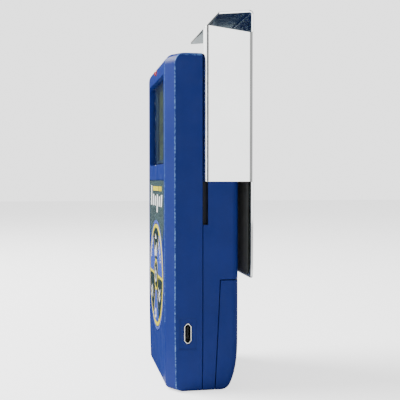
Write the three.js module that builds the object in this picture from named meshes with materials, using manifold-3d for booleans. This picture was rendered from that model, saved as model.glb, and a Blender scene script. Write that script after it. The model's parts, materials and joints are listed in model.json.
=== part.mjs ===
// Hand-held pulse-rate meter with a slide-on sample holder.
// Millimetres. X is the width, Y runs from the front face (-Y) to the back (+Y), Z is up.
// The origin is the centre of the overall footprint, on the surface the case stands on.
import * as THREE from 'three';
import { mergeVertices } from 'three/addons/utils/BufferGeometryUtils.js';
import Module from 'manifold-3d';

// ---- Driving dimensions -------------------------------------------------------------------------

// Case
const CASE_W = 68;              // width over the sides
const CASE_H = 140;             // height
const WALL = 2.4;               // moulded wall
const FRONT_D = 15.2;           // depth of the front half
const PART_GAP = 0.2;           // visible line between the two halves
const FACE_BEVEL_X = 5.5;       // bevel beside the front face, along the face
const FACE_BEVEL_Y = 3.6;       // the same bevel, along the depth
const BACK_CORNER_R = 3;        // rear vertical corners
const INNER_CORNER_R = 0.8;     // least radius inside them
const TOP_FRONT_EDGE = { run: 4.2, rise: 4.7 };
const TOP_BACK_EDGE = { run: 3, rise: 3 };
const FOOT_FRONT_EDGE = { run: 4.5, rise: 2.2 };
const FOOT_BACK_EDGE = { run: 5.7, rise: 20 };
const SIDE_EDGE = { run: 1.2, rise: 1.2 };
const TAPER_START_Z = 38;       // below this height the case draws in a little
const SIDE_TAPER = 1.2;
const FACE_TAPER = 0.6;

// Fits
const BOND = 0.1;               // glued or seated face to face
const FIT = 0.3;                // piece dropped into a cut-out
const RUN = 0.2;                // sliding clearance

// Sample holder
const SHEET = 1.0;              // steel sheet
const LINER_T = 0.4;
const SAMPLE_GAP = 4.2;         // from the back of the case to the liner
const LIFT = 15.6;              // how far the holder is raised from its seat
const HOLDER_BELOW_TAB = 108.8; // back plate, below the underside of the tab
const FLANGE_H = 64;            // flange height at its front edge
const FLANGE_TOP_DROP = 2.2;    // how much lower the flange is at the back
const FLANGE_TO_TAB = 4.6;
const TAB_REACH = 13.6;         // tab, forward of the back plate's inner face
const TAB_RISE = 1.2;           // rise of the tab over its reach
const LIP_REACH = 1.55;         // hooked lip, along the depth
const LIP_HOOK = 1.95;          // hooked lip, across the width
const LIP_T = 0.9;
const HOLDER_CORNER_R = 4;
const BEND_T = 0.3;             // inside of the bend between lip and flange
const LINER = { side: 2.5, foot: 1, drop: 8, r: 3 };

// Groove in the case sides that the lips run in
const GROOVE_W = 2.0;
const GROOVE_SEAT = 2.2;        // the groove ends this far below the seated lip
const TONGUE_T = 1.5;           // inner tongue of the rear half
const TONGUE_LAP = 1.5;
const TONGUE_LEAD = 2;          // rounded lead at the tongue's foot

// Display
const VIEW_W = 51;
const VIEW_H = 37.5;
const VIEW_TOP_DROP = 8;        // top of the view, below the top of the case
const VIEW_CORNER_R = 1;
const WELL_D = 4.3;             // depth of the well around the view
const WELL_WALL = 1.2;
const PANE_SINK = 1.7;
const PANE_T = 1.0;
const PANE_LEDGE = 0.8;
const GLASS_LAP = 0.5;          // display glass, past the opening on each side
const GLASS_T = 2.2;
const BACKLIGHT_T = 2.0;
const BEZEL_WALL = 0.9;

// Keypad
const PAD_Z = 45;
const PAD_R = 23;               // outside of the ring
const RING_W = 1.6;
const KEY_GAP = 0.3;
const KEY_T = 2.8;
const KEY_FLANGE_T = 0.8;
const KEY_FLANGE_LAP = 1.1;
const KEY_STROKE = 0.4;
const SPOKE_W = 0.9;
const SPOKES = [0, 64, 116, 180, 244, 296];             // degrees, up from +X
const HUB_R = 6.9;              // outside of the ring around the centre key
const HUB_W = 0.9;
const HALO_W = 1.8;
const MAT_T = 1.8;              // silicone mat under the keys
const MAT_LAP = 1;
const DOME_R = 3;

// Label
const LABEL_W = 52;
const LABEL_DROP = 6.9;         // top of the label, below the view
const LABEL_T = 0.25;
const LABEL_SINK = 0.3;
const LABEL_BOND = 0.02;        // its adhesive

// Boards and electronics
const BOARD_D = 9.9;            // front of the board, from the front face
const BOARD_T = 1.6;
const BOARD_TOP_DROP = 12;
const BOARD_FOOT_Z = 6;
const LAMP_R = 1.5;
const LAMP_DROP = 4.2;          // lamp, below the top of the case
const LAMP_PROUD = 0.9;
const LAMP_LEN = 3;             // straight part behind the wall
const USB_Z = 24.3;
const USB_W = 8.4;              // along Z
const USB_T = 3.1;              // along the depth
const USB_LEN = 7.5;
const USB_WALL = 0.4;
const USB_DROP = 0.7;           // how far the socket is let into the board
const USB_SINK = 0.5;           // mouth of the socket, below the case side
const USB_SLANT = 0.42;         // corner height, as a share of its thickness
const USB_NOSE = 0.3;           // flat end, the same way
const USB_BACK_T = 1;
const USB_TONGUE = { w: 5, t: 0.8, sink: 1.2 };
const USB_POCKET = { w: 13, t: 7.2, sink: 0.4 };
const PROCESSOR = { w: 12, h: 12, t: 1.4, x: 4 };
const MEMORY = { w: 6, h: 5, t: 1.2, x: -14 };
const COIL = { w: 13, h: 11, t: 5.5, x: 14 };
const SOUNDER = { r: 6.5, t: 5, x: -13 };
const COIL_DROP = 13.5;         // coil and sounder, below the view

// Detector
const DET_DROP = 40;            // detector centre, below the top of the case
const DET_R = 26.6;
const DET_T = 13.4;
const DET_WALL = 0.8;
const DET_VIEW_R = 22.3;
const GASKET_T = 1.0;
const SCREEN_R = 23.5;
const SCREEN_T = 0.8;
const SCREEN_HOLE = 2.6;        // hexagon radius
const SCREEN_PITCH = 5.6;
const SCREEN_RIM = 1.5;
const SCREEN_LEDGE = 2;
const CUP_WALL = 1.4;           // moulded cup around the detector
const CUP_DEEP = 12;
const MICA = { t: 0.4, sink: 0.2 };
const ANODE = { r: 13.4, w: 1, t: 1, rise: 6 };

// Batteries
const CELL_R = 7.25;
const CELL_L = 50.5;
const CELL_LOW_Z = 16;
const CELL_SPACE = 1.1;         // between the two cells
const CELL_BACK_GAP = 0.8;      // between the cells and the door
const CELL_END_ROOM = 2.6;      // for the spring and the contact
const CELL_NUB = { r: 2.7, len: 1.2 };
const TRAY_T = 1.0;
const RIB_D = 2.8;              // rib above the tray
const CONTACT = { t: 0.4, half: 4, button: 2 };
const SPRING = { wire: 0.35, r: 3.4, turns: 3, taper: 0.35 };

// Battery door
const DOOR_TOP_Z = 46.5;
const DOOR_TOP_D = 22.5;        // depth of the door's front edge at its top
const DOOR_FOOT_D = 20.4;       // and at the foot
const DOOR_HOOK = { w: 1.7, h: 2.5, d: 4, root: 8 };

// Case screws
const SCREW_INSET = 5.1;         // from the case side
const TOP_SCREW_DROP = 5.1;      // upper screws, below the top of the case
const BOSS_R = 2.5;
const BOSS_SPACE = 0.5;          // lower bosses, above the door's hooks
const SHANK_R = 1.1;
const HEAD_R = 1.9;
const HEAD_T = 1.6;
const HEAD_SINK = 9;
const SHANK_LEN = 11.6;
const DRIVE = { w: 0.6, l: 2.4, deep: 0.6 };

// ---- Derived places -----------------------------------------------------------------------------

const BOARD_BACK_D = BOARD_D + BOARD_T;
const CELL_MID_D = BOARD_BACK_D + RUN + TRAY_T + RUN + CELL_R;
const INNER_BACK_D = CELL_MID_D + CELL_R + CELL_BACK_GAP;
const CASE_D = INNER_BACK_D + WALL;                     // front face to back face
const TOTAL_D = CASE_D + SAMPLE_GAP + LINER_T + BOND + SHEET;
const Y_FRONT = (LAMP_PROUD - TOTAL_D) / 2;              // the lamp's dome is the foremost point
const depth = (d) => Y_FRONT + d;
const HALF_W = CASE_W / 2;
const SCREW_X = HALF_W - SCREW_INSET;
const VIEW_TOP_Z = CASE_H - VIEW_TOP_DROP;
const VIEW_FOOT_Z = VIEW_TOP_Z - VIEW_H;
const LABEL_TOP_Z = VIEW_FOOT_Z - LABEL_DROP;
const BOARD_TOP_Z = CASE_H - BOARD_TOP_DROP;
const LAMP_Z = CASE_H - LAMP_DROP;
const DET_Z = CASE_H - DET_DROP;
const CELL_PITCH = 2 * CELL_R + CELL_SPACE;
const VIEW_MID_Z = (VIEW_TOP_Z + VIEW_FOOT_Z) / 2;
const PLATE_D = CASE_D + SAMPLE_GAP + LINER_T + BOND;   // inner face of the holder's back plate
const FLANGE_IN_X = HALF_W + RUN;
const FLANGE_OUT_X = FLANGE_IN_X + SHEET;
const TAB_Z = CASE_H + BOND + LIFT;                     // underside of the tab at its front edge
const FLANGE_TOP_Z = TAB_Z - FLANGE_TO_TAB;
const FLANGE_FOOT_Z = FLANGE_TOP_Z - FLANGE_H;
const GROOVE_FOOT_Z = FLANGE_FOOT_Z - LIFT - GROOVE_SEAT;
const GROOVE_FRONT_D = FRONT_D + PART_GAP;
const GROOVE_BACK_D = GROOVE_FRONT_D + GROOVE_W;
const TONGUE_X = HALF_W - WALL - RUN;
const KEY_R = PAD_R - RING_W - KEY_GAP;
const SCREW_ZS = [DOOR_TOP_Z + DOOR_HOOK.h + BOSS_R + BOSS_SPACE, CASE_H - TOP_SCREW_DROP];
const TRAY_TOP_Z = CELL_LOW_Z + CELL_PITCH + CELL_R + FIT;
const MARGIN = 2;                                       // how far cutters overshoot

// ---- Solids -------------------------------------------------------------------------------------

const wasm = await Module();
wasm.setup();

function solidOf(geometry) {
  geometry.deleteAttribute('normal');
  geometry.deleteAttribute('uv');
  const merged = mergeVertices(geometry, 1e-5);
  return new wasm.Manifold(new wasm.Mesh({
    numProp: 3,
    vertProperties: new Float32Array(merged.attributes.position.array),
    triVerts: new Uint32Array(merged.index.array),
  }));
}

function geometryOf(solid) {
  const mesh = solid.getMesh();
  const geometry = new THREE.BufferGeometry();
  geometry.setAttribute('position', new THREE.BufferAttribute(new Float32Array(mesh.vertProperties), 3));
  geometry.setIndex(new THREE.BufferAttribute(new Uint32Array(mesh.triVerts), 1));
  geometry.computeVertexNormals();
  return geometry;
}

const join = (first, ...others) => others.reduce((a, b) => a.add(b), first);
const cut = (first, ...others) => others.reduce((a, b) => a.subtract(b), first);
const common = (a, b) => a.intersect(b);

function block(x0, x1, y0, y1, z0, z1) {
  const geometry = new THREE.BoxGeometry(x1 - x0, y1 - y0, z1 - z0);
  geometry.translate((x0 + x1) / 2, (y0 + y1) / 2, (z0 + z1) / 2);
  return solidOf(geometry);
}

// A disc or rod whose axis is along Y.
function rodY(x, z, radius, y0, y1, sides = 32) {
  const geometry = new THREE.CylinderGeometry(radius, radius, y1 - y0, sides);
  geometry.translate(x, (y0 + y1) / 2, z);
  return solidOf(geometry);
}

// A rod whose axis is along X.
function rodX(y, z, radius, x0, x1, sides = 24) {
  const geometry = new THREE.CylinderGeometry(radius, radius, x1 - x0, sides);
  geometry.rotateZ(Math.PI / 2);
  geometry.translate((x0 + x1) / 2, y, z);
  return solidOf(geometry);
}

function shapeOf(points) {
  if (points instanceof THREE.Shape) return points;
  return new THREE.Shape(points.map(([u, v]) => new THREE.Vector2(u, v)));
}

function extruded(points, length, curveSegments) {
  return new THREE.ExtrudeGeometry(shapeOf(points), { depth: length, bevelEnabled: false, curveSegments });
}

// Outline in X, Z, carried along Y.
function prismY(points, y0, y1, curveSegments = 6) {
  const geometry = extruded(points, y1 - y0, curveSegments);
  geometry.rotateX(Math.PI / 2);
  geometry.translate(0, y1, 0);
  return solidOf(geometry);
}

// Outline in Y, Z, carried along X.
function prismX(points, x0, x1, curveSegments = 6) {
  const geometry = extruded(points, x1 - x0, curveSegments);
  const turn = new THREE.Matrix4().makeBasis(
    new THREE.Vector3(0, 1, 0), new THREE.Vector3(0, 0, 1), new THREE.Vector3(1, 0, 0));
  geometry.applyMatrix4(turn);
  geometry.translate(x0, 0, 0);
  return solidOf(geometry);
}

// Outline in X, Y, carried along Z.
function prismZ(points, z0, z1) {
  const geometry = extruded(points, z1 - z0, 6);
  geometry.translate(0, 0, z0);
  return solidOf(geometry);
}

function roundedRect(width, height, midZ, radius) {
  const w = width / 2;
  const h = height / 2;
  const shape = new THREE.Shape();
  shape.moveTo(-w + radius, midZ - h);
  shape.lineTo(w - radius, midZ - h);
  shape.absarc(w - radius, midZ - h + radius, radius, -Math.PI / 2, 0);
  shape.lineTo(w, midZ + h - radius);
  shape.absarc(w - radius, midZ + h - radius, radius, 0, Math.PI / 2);
  shape.lineTo(-w + radius, midZ + h);
  shape.absarc(-w + radius, midZ + h - radius, radius, Math.PI / 2, Math.PI);
  shape.lineTo(-w, midZ - h + radius);
  shape.absarc(-w + radius, midZ - h + radius, radius, Math.PI, 1.5 * Math.PI);
  return shape;
}

const mirrorX = (solid) => solid.mirror([1, 0, 0]);

// ---- Case form ----------------------------------------------------------------------------------

// How far an elliptical edge has drawn in at a given distance from the end it rounds.
function edgeInset({ run, rise }, distance) {
  if (distance >= rise) return 0;
  const t = (rise - distance) / rise;
  return run * (1 - Math.sqrt(Math.max(0, 1 - t * t)));
}

function lowerTaper(z) {
  const t = Math.max(0, (TAPER_START_Z - z) / TAPER_START_Z);
  return t * t;
}

// Horizontal outline of the case at height z, moved inwards by inset.
function caseOutline(z, inset) {
  const up = CASE_H - z;
  const side = edgeInset(SIDE_EDGE, z) + edgeInset(SIDE_EDGE, up) + SIDE_TAPER * lowerTaper(z);
  const front = edgeInset(FOOT_FRONT_EDGE, z) + edgeInset(TOP_FRONT_EDGE, up) + FACE_TAPER * lowerTaper(z);
  const back = edgeInset(FOOT_BACK_EDGE, z) + edgeInset(TOP_BACK_EDGE, up);
  const x = HALF_W - side - inset;
  const y0 = depth(front + inset);
  const y1 = depth(CASE_D - back - inset);
  const r = Math.max(BACK_CORNER_R - inset, INNER_CORNER_R);
  const right = [[x - FACE_BEVEL_X, y0], [x, y0 + FACE_BEVEL_Y]];
  const steps = 4;
  for (let i = 0; i <= steps; i += 1) {
    const a = (i / steps) * Math.PI / 2;
    right.push([x - r + r * Math.cos(a), y1 - r + r * Math.sin(a)]);
  }
  const left = right.map(([px, py]) => [-px, py]).reverse();
  return [...right, ...left];
}

function caseLoft(inset, levels) {
  const rings = levels.map((z) => caseOutline(z, inset));
  const count = rings[0].length;
  const positions = [];
  rings.forEach((ring, k) => ring.forEach(([x, y]) => positions.push(x, y, levels[k])));
  const index = [];
  for (let k = 0; k + 1 < rings.length; k += 1) {
    for (let i = 0; i < count; i += 1) {
      const a = k * count + i;
      const b = k * count + (i + 1) % count;
      index.push(a, b, b + count, a, b + count, a + count);
    }
  }
  const top = (rings.length - 1) * count;
  for (let i = 1; i + 1 < count; i += 1) {
    index.push(0, i + 1, i);
    index.push(top, top + i, top + i + 1);
  }
  const geometry = new THREE.BufferGeometry();
  geometry.setAttribute('position', new THREE.Float32BufferAttribute(positions, 3));
  geometry.setIndex(index);
  return solidOf(geometry);
}

// Levels that follow a rounded end closely and the rest loosely.
function roundedLevels(rise, steps) {
  return Array.from({ length: steps + 1 }, (_, i) => rise * (1 - Math.cos((i / steps) * Math.PI / 2)));
}

const footLevels = [...roundedLevels(FOOT_FRONT_EDGE.rise, 4), ...roundedLevels(FOOT_BACK_EDGE.rise, 9)];
const topLevels = roundedLevels(TOP_FRONT_EDGE.rise, 5).map((z) => CASE_H - z);
const outerLevels = [...new Set([...footLevels, TAPER_START_Z * 0.75, TAPER_START_Z, ...topLevels])]
  .sort((a, b) => a - b)
  .filter((z, i, all) => i === 0 || z - all[i - 1] > 0.1);
const innerLevels = [
  WALL, WALL + SIDE_EDGE.rise,
  ...[0.22, 0.5, 0.85].map((share) => share * FOOT_BACK_EDGE.rise),
  TAPER_START_Z * 0.75, TAPER_START_Z,
  CASE_H - WALL - TOP_FRONT_EDGE.rise, CASE_H - WALL - SIDE_EDGE.rise, CASE_H - WALL,
];

const outerForm = caseLoft(0, outerLevels);
const innerForm = caseLoft(WALL, innerLevels);
const hollowForm = cut(outerForm, innerForm);

const X_ALL = HALF_W + MARGIN;
const ahead = (d) => block(-X_ALL, X_ALL, depth(-MARGIN), depth(d), -MARGIN, CASE_H + MARGIN);
const behind = (d) => block(-X_ALL, X_ALL, depth(d), depth(CASE_D + MARGIN), -MARGIN, CASE_H + MARGIN);

// ---- Scene --------------------------------------------------------------------------------------

const group = new THREE.Group();

const looks = {
  caseBlue: { color: 0x1f4a96, roughness: 0.45, metalness: 0 },
  steel: { color: 0xdfe2e2, roughness: 0.06, metalness: 1 },
  liner: { color: 0x202423, roughness: 0.8, metalness: 0 },
  clear: { color: 0xc8d4c8, roughness: 0.05, metalness: 0 },
  olive: { color: 0x5d6a3c, roughness: 0.25, metalness: 0 },
  bezel: { color: 0x37506f, roughness: 0.5, metalness: 0 },
  white: { color: 0xe8e8e2, roughness: 0.5, metalness: 0 },
  label: { color: 0x46605f, roughness: 0.25, metalness: 0 },
  yellow: { color: 0xe6d94a, roughness: 0.4, metalness: 0 },
  keyBlue: { color: 0x5566b8, roughness: 0.4, metalness: 0 },
  keyDark: { color: 0x2f4446, roughness: 0.4, metalness: 0 },
  silicone: { color: 0xb9bcbc, roughness: 0.7, metalness: 0 },
  board: { color: 0x1d5a35, roughness: 0.5, metalness: 0 },
  chip: { color: 0x151515, roughness: 0.6, metalness: 0 },
  red: { color: 0xb5231c, roughness: 0.2, metalness: 0 },
  socket: { color: 0xc9cbc6, roughness: 0.25, metalness: 1 },
  nickel: { color: 0xb9bcbf, roughness: 0.3, metalness: 1 },
  mica: { color: 0xb7a98a, roughness: 0.3, metalness: 0 },
  foam: { color: 0x2a2b2d, roughness: 0.95, metalness: 0 },
  wrap: { color: 0x2d3138, roughness: 0.4, metalness: 0 },
};

function part(name, solid, look) {
  const mesh = new THREE.Mesh(geometryOf(solid), new THREE.MeshStandardMaterial(looks[look]));
  mesh.name = name;
  group.add(mesh);
}

// ---- Battery door outline -----------------------------------------------------------------------

// Side view of the corner that the door takes out of the rear half, shrunk by gap.
function doorCorner(gap) {
  const slope = (DOOR_TOP_D - DOOR_FOOT_D) / DOOR_TOP_Z;
  const edgeD = (z) => DOOR_FOOT_D + slope * z + gap;
  const top = DOOR_TOP_Z - gap;
  return prismX([
    [depth(edgeD(-MARGIN)), -MARGIN],
    [depth(CASE_D + MARGIN), -MARGIN],
    [depth(CASE_D + MARGIN), top],
    [depth(edgeD(top)), top],
  ], -X_ALL, X_ALL);
}

// ---- Front half ---------------------------------------------------------------------------------

function labelOutline(grow) {
  const w = LABEL_W / 2 + grow;
  const r = PAD_R + HALO_W + grow;
  const shoulder = Math.PI * 0.2;
  const shape = new THREE.Shape();
  shape.moveTo(w, LABEL_TOP_Z + grow);
  shape.lineTo(-w, LABEL_TOP_Z + grow);
  shape.lineTo(-w, PAD_Z + PAD_R);
  shape.absarc(0, PAD_Z, r, Math.PI - shoulder, 2 * Math.PI + shoulder);
  shape.lineTo(w, PAD_Z + PAD_R);
  return shape;
}

function boss(x, z, d0, d1) {
  return rodY(x, z, BOSS_R, depth(d0), depth(d1), 16);
}

function frontCase() {
  const shell = cut(hollowForm, behind(FRONT_D));
  const wellOut = roundedRect(VIEW_W + 2 * WELL_WALL, VIEW_H + 2 * WELL_WALL, VIEW_MID_Z,
    VIEW_CORNER_R + WELL_WALL);
  const well = prismY(wellOut, depth(WALL - BOND), depth(WELL_D), 3);
  const view = prismY(roundedRect(VIEW_W, VIEW_H, VIEW_MID_Z, VIEW_CORNER_R), depth(-MARGIN),
    depth(PANE_SINK + PANE_T + BOND), 3);
  const viewBack = prismY(
    roundedRect(VIEW_W - 2 * PANE_LEDGE, VIEW_H - 2 * PANE_LEDGE, VIEW_MID_Z, VIEW_CORNER_R),
    depth(0), depth(WELL_D + MARGIN), 3);
  const bosses = [];
  const pilots = [];
  for (const side of [-1, 1]) {
    for (const z of SCREW_ZS) {
      bosses.push(boss(side * SCREW_X, z, WALL - BOND, FRONT_D - TONGUE_LAP - FIT));
      pilots.push(rodY(side * SCREW_X, z, SHANK_R + RUN, depth(WALL + 1), depth(FRONT_D), 12));
    }
  }
  const usbHole = prismX(usbOutline(USB_W + 2 * RUN, USB_T + 2 * RUN), HALF_W - WALL - MARGIN, X_ALL);
  const pocket = block(usbFaceX - USB_POCKET.sink, X_ALL,
    depth(usbDepth - USB_POCKET.t / 2), depth(usbDepth + USB_POCKET.t / 2),
    USB_Z - USB_POCKET.w / 2, USB_Z + USB_POCKET.w / 2);
  return cut(
    join(shell, well, ...bosses),
    view, viewBack, ...pilots, usbHole, pocket,
    rodY(0, PAD_Z, PAD_R + KEY_GAP, depth(-MARGIN), depth(WALL + MARGIN), 64),
    prismY(labelOutline(RUN), depth(-MARGIN), depth(LABEL_SINK), 24),
    rodY(0, LAMP_Z, LAMP_R + RUN, depth(-MARGIN), depth(WALL + LAMP_LEN + MARGIN), 16),
  );
}

// ---- USB socket ---------------------------------------------------------------------------------

const usbDepth = BOARD_D - USB_T / 2 + USB_DROP;
const usbFaceX = HALF_W - SIDE_TAPER * lowerTaper(USB_Z);
const usbMouthX = usbFaceX - USB_SINK;
const usbBackX = usbMouthX - USB_LEN;

// Long hexagonal mouth, tall along Z.
function usbOutline(width, thickness) {
  const h = width / 2;
  const t = thickness / 2;
  const slant = thickness * USB_SLANT;
  const nose = t * USB_NOSE;
  return [
    [depth(usbDepth) - t, USB_Z - h + slant], [depth(usbDepth) - nose, USB_Z - h],
    [depth(usbDepth) + nose, USB_Z - h], [depth(usbDepth) + t, USB_Z - h + slant],
    [depth(usbDepth) + t, USB_Z + h - slant], [depth(usbDepth) + nose, USB_Z + h],
    [depth(usbDepth) - nose, USB_Z + h], [depth(usbDepth) - t, USB_Z + h - slant],
  ];
}

function usbSocket() {
  const shell = cut(
    prismX(usbOutline(USB_W, USB_T), usbBackX, usbMouthX),
    prismX(usbOutline(USB_W - 2 * USB_WALL, USB_T - 2 * USB_WALL),
      usbBackX + USB_BACK_T, usbMouthX + MARGIN),
  );
  const { w, t, sink } = USB_TONGUE;
  const tongue = block(usbBackX + USB_BACK_T + BOND, usbMouthX - sink,
    depth(usbDepth - t / 2), depth(usbDepth + t / 2), USB_Z - w / 2, USB_Z + w / 2);
  part('usb_socket_shell', shell, 'socket');
  part('usb_socket_tongue', tongue, 'chip');
}

// ---- Rear half ----------------------------------------------------------------------------------

function batteryTray() {
  const halfX = CELL_L / 2 + CELL_END_ROOM + TRAY_T;
  const floorD = CELL_MID_D - CELL_R - RUN - TRAY_T;
  const footZ = CELL_LOW_Z - CELL_R - TRAY_T - FIT;
  const topZ = TRAY_TOP_Z;
  const rimD = DOOR_FOOT_D;
  const plate = (x0, x1, d0, d1, z0, z1) => block(x0, x1, depth(d0), depth(d1), z0, z1);
  return join(
    plate(-halfX, halfX, floorD, floorD + TRAY_T, footZ, topZ + TRAY_T),
    plate(-halfX, halfX, floorD, rimD, topZ, topZ + TRAY_T),
    plate(-halfX, halfX, floorD, rimD, footZ, footZ + TRAY_T),
    plate(-halfX, -halfX + TRAY_T, floorD, rimD, footZ, topZ + TRAY_T),
    plate(halfX - TRAY_T, halfX, floorD, rimD, footZ, topZ + TRAY_T),
    plate(-TONGUE_X, TONGUE_X, FRONT_D + PART_GAP, FRONT_D + PART_GAP + RIB_D, topZ, topZ + TRAY_T),
  );
}

function rearCase() {
  const tongueD = FRONT_D - TONGUE_LAP;
  const tongueEndD = GROOVE_BACK_D + TONGUE_T;
  const shell = cut(hollowForm, ahead(FRONT_D + PART_GAP));
  const slab = block(-X_ALL, X_ALL, depth(tongueD), depth(tongueEndD), 0, CASE_H);
  const tongue = common(slab, cut(
    caseLoft(WALL + RUN, tongueLevels(WALL + RUN)),
    caseLoft(WALL + RUN + TONGUE_T, tongueLevels(WALL + RUN + TONGUE_T)),
  ));
  const bosses = [];
  const bores = [];
  for (const side of [-1, 1]) {
    for (const z of SCREW_ZS) {
      bosses.push(boss(side * SCREW_X, z, tongueD, INNER_BACK_D + BOND));
      bores.push(rodY(side * SCREW_X, z, SHANK_R + RUN,
        depth(tongueD - MARGIN), depth(CASE_D + MARGIN), 12));
      bores.push(rodY(side * SCREW_X, z, HEAD_R + RUN,
        depth(CASE_D - HEAD_SINK), depth(CASE_D + MARGIN), 16));
    }
  }
  const cupD = CASE_D - CUP_DEEP;
  const cup = cut(
    rodY(0, DET_Z, DET_R + FIT + CUP_WALL, depth(cupD), depth(INNER_BACK_D + BOND), 40),
    rodY(0, DET_Z, DET_R + FIT, depth(cupD - MARGIN), depth(INNER_BACK_D), 40),
  );
  const groove = block(TONGUE_X, X_ALL, depth(FRONT_D), depth(GROOVE_BACK_D),
    GROOVE_FOOT_Z, CASE_H + MARGIN);
  const ledgeD = CASE_D - SCREEN_T - 2 * BOND;
  return cut(
    join(shell, tongue, cup, batteryTray(), ...bosses),
    ...bores, groove, mirrorX(groove), doorCorner(0),
    rodY(0, DET_Z, SCREEN_R - SCREEN_LEDGE, depth(INNER_BACK_D - MARGIN), depth(CASE_D + MARGIN), 40),
    rodY(0, DET_Z, SCREEN_R + RUN, depth(ledgeD), depth(CASE_D + MARGIN), 40),
  );
}

function tongueLevels(inset) {
  return [
    inset, inset + TONGUE_LEAD, FOOT_BACK_EDGE.rise / 2, FOOT_BACK_EDGE.rise, TAPER_START_Z,
    CASE_H - WALL - TOP_FRONT_EDGE.rise, CASE_H - inset,
  ];
}

function batteryDoor() {
  const panel = common(cut(outerForm, innerForm), doorCorner(FIT));
  const hookX = HALF_W - WALL - FIT;
  const hookZ = DOOR_TOP_Z - DOOR_HOOK.root;
  const bar = (x1, z1) => block(hookX - DOOR_HOOK.w, x1, depth(INNER_BACK_D - DOOR_HOOK.d),
    depth(INNER_BACK_D - FIT), hookZ, z1);
  const hook = bar(hookX, DOOR_TOP_Z + DOOR_HOOK.h);
  const root = bar(HALF_W - WALL / 2, DOOR_TOP_Z - 2 * FIT);
  return join(panel, hook, root, mirrorX(hook), mirrorX(root));
}

// ---- Display, label and keypad ------------------------------------------------------------------

function display() {
  const pane = roundedRect(VIEW_W - 2 * RUN, VIEW_H - 2 * RUN, VIEW_MID_Z, VIEW_CORNER_R - RUN);
  part('display_window', prismY(pane, depth(PANE_SINK), depth(PANE_SINK + PANE_T), 3), 'clear');
  const frontD = WELL_D + BOND;
  const cellW = VIEW_W - 2 * (PANE_LEDGE - GLASS_LAP);
  const cellH = VIEW_H - 2 * (PANE_LEDGE - GLASS_LAP);
  const cell = (grow, d0, d1) => block(-cellW / 2 - grow, cellW / 2 + grow, depth(d0), depth(d1),
    VIEW_MID_Z - cellH / 2 - grow, VIEW_MID_Z + cellH / 2 + grow);
  const cellBackD = frontD + GLASS_T;
  part('display_cell', cell(0, frontD, cellBackD), 'olive');
  part('display_backlight', cell(0, cellBackD + BOND, cellBackD + BOND + BACKLIGHT_T), 'white');
  const frame = cut(cell(BEZEL_WALL + RUN, frontD, BOARD_D - BOND), cell(RUN, frontD - MARGIN, BOARD_D));
  part('display_frame', frame, 'bezel');
}

function faceLabel() {
  const outline = labelOutline(0);
  const sheet = prismY(outline, depth(LABEL_SINK - LABEL_T), depth(LABEL_SINK - LABEL_BOND), 24);
  const padHole = rodY(0, PAD_Z, PAD_R + KEY_GAP, depth(-MARGIN), depth(MARGIN), 64);
  part('face_label', cut(sheet, padHole), 'label');
}

const padPoint = (r, degrees, across = 0) => {
  const a = THREE.MathUtils.degToRad(degrees);
  return [r * Math.cos(a) - across * Math.sin(a), PAD_Z + r * Math.sin(a) + across * Math.cos(a)];
};

function spoke(degrees, half, r0, r1, d0, d1) {
  const corners = [[r0, -half], [r1, -half], [r1, half], [r0, half]];
  const outline = corners.map(([r, across]) => padPoint(r, degrees, across));
  return prismY(outline, depth(d0), depth(d1));
}

function annulus(radius, width, d0, d1) {
  return cut(
    rodY(0, PAD_Z, radius, depth(d0), depth(d1), 64),
    rodY(0, PAD_Z, radius - width, depth(d0 - MARGIN), depth(d1 + MARGIN), 64),
  );
}

// Rim, hub and spokes in one moulding.
function keypadRing() {
  const backD = WALL + BOND;
  const reach = [HUB_R - HUB_W / 2, PAD_R - RING_W / 2];
  const bars = SPOKES.map((a) => spoke(a, SPOKE_W / 2, ...reach, -BOND, backD));
  const rims = [annulus(PAD_R, RING_W, -BOND, backD), annulus(HUB_R, HUB_W, -BOND, backD)];
  part('keypad_ring', join(...rims, ...bars), 'yellow');
}

function keypad() {
  keypadRing();
  const frontD = -BOND;
  const backD = KEY_T + KEY_FLANGE_T;
  const cap = (radius, flange) => join(
    rodY(0, PAD_Z, radius, depth(frontD), depth(backD), 64),
    rodY(0, PAD_Z, flange, depth(KEY_T), depth(backD), 64),
  );
  const slots = SPOKES.map((a) => spoke(a, SPOKE_W / 2 + KEY_GAP, 0, 2 * PAD_R, -MARGIN, backD + MARGIN));
  const sectors = cut(
    cap(KEY_R, KEY_R + KEY_FLANGE_LAP),
    rodY(0, PAD_Z, HUB_R + KEY_GAP, depth(-MARGIN), depth(backD + MARGIN), 64),
    ...slots,
  );
  const names = ['upper_right', 'top', 'upper_left', 'lower_left', 'bottom', 'lower_right'];
  const blue = ['upper_right', 'upper_left', 'bottom'];
  const middles = [];
  names.forEach((name, i) => {
    const from = SPOKES[i];
    const to = i + 1 < SPOKES.length ? SPOKES[i + 1] : 360;
    const middle = (from + to) / 2;
    const fan = [padPoint(0, 0), ...[from, middle, to].map((a) => padPoint(2 * PAD_R, a))];
    const sector = common(sectors, prismY(fan, depth(-MARGIN), depth(backD + MARGIN)));
    part(`key_${name}`, sector, blue.includes(name) ? 'keyBlue' : 'keyDark');
    middles.push(padPoint((HUB_R + KEY_R) / 2, middle));
  });
  part('key_centre', cap(HUB_R - HUB_W - KEY_GAP, HUB_R), 'keyDark');

  const padD = backD + KEY_STROKE + RUN;
  const matD = BOARD_D - BOND - MAT_T;
  const mat = rodY(0, PAD_Z, PAD_R + MAT_LAP, depth(matD), depth(BOARD_D - BOND), 40);
  const domes = [padPoint(0, 0), ...middles]
    .map(([x, z]) => rodY(x, z, DOME_R, depth(padD), depth(matD + MAT_T / 2), 16));
  part('dome_mat', join(mat, ...domes), 'silicone');
}

// ---- Lamp and electronics -----------------------------------------------------------------------

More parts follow.
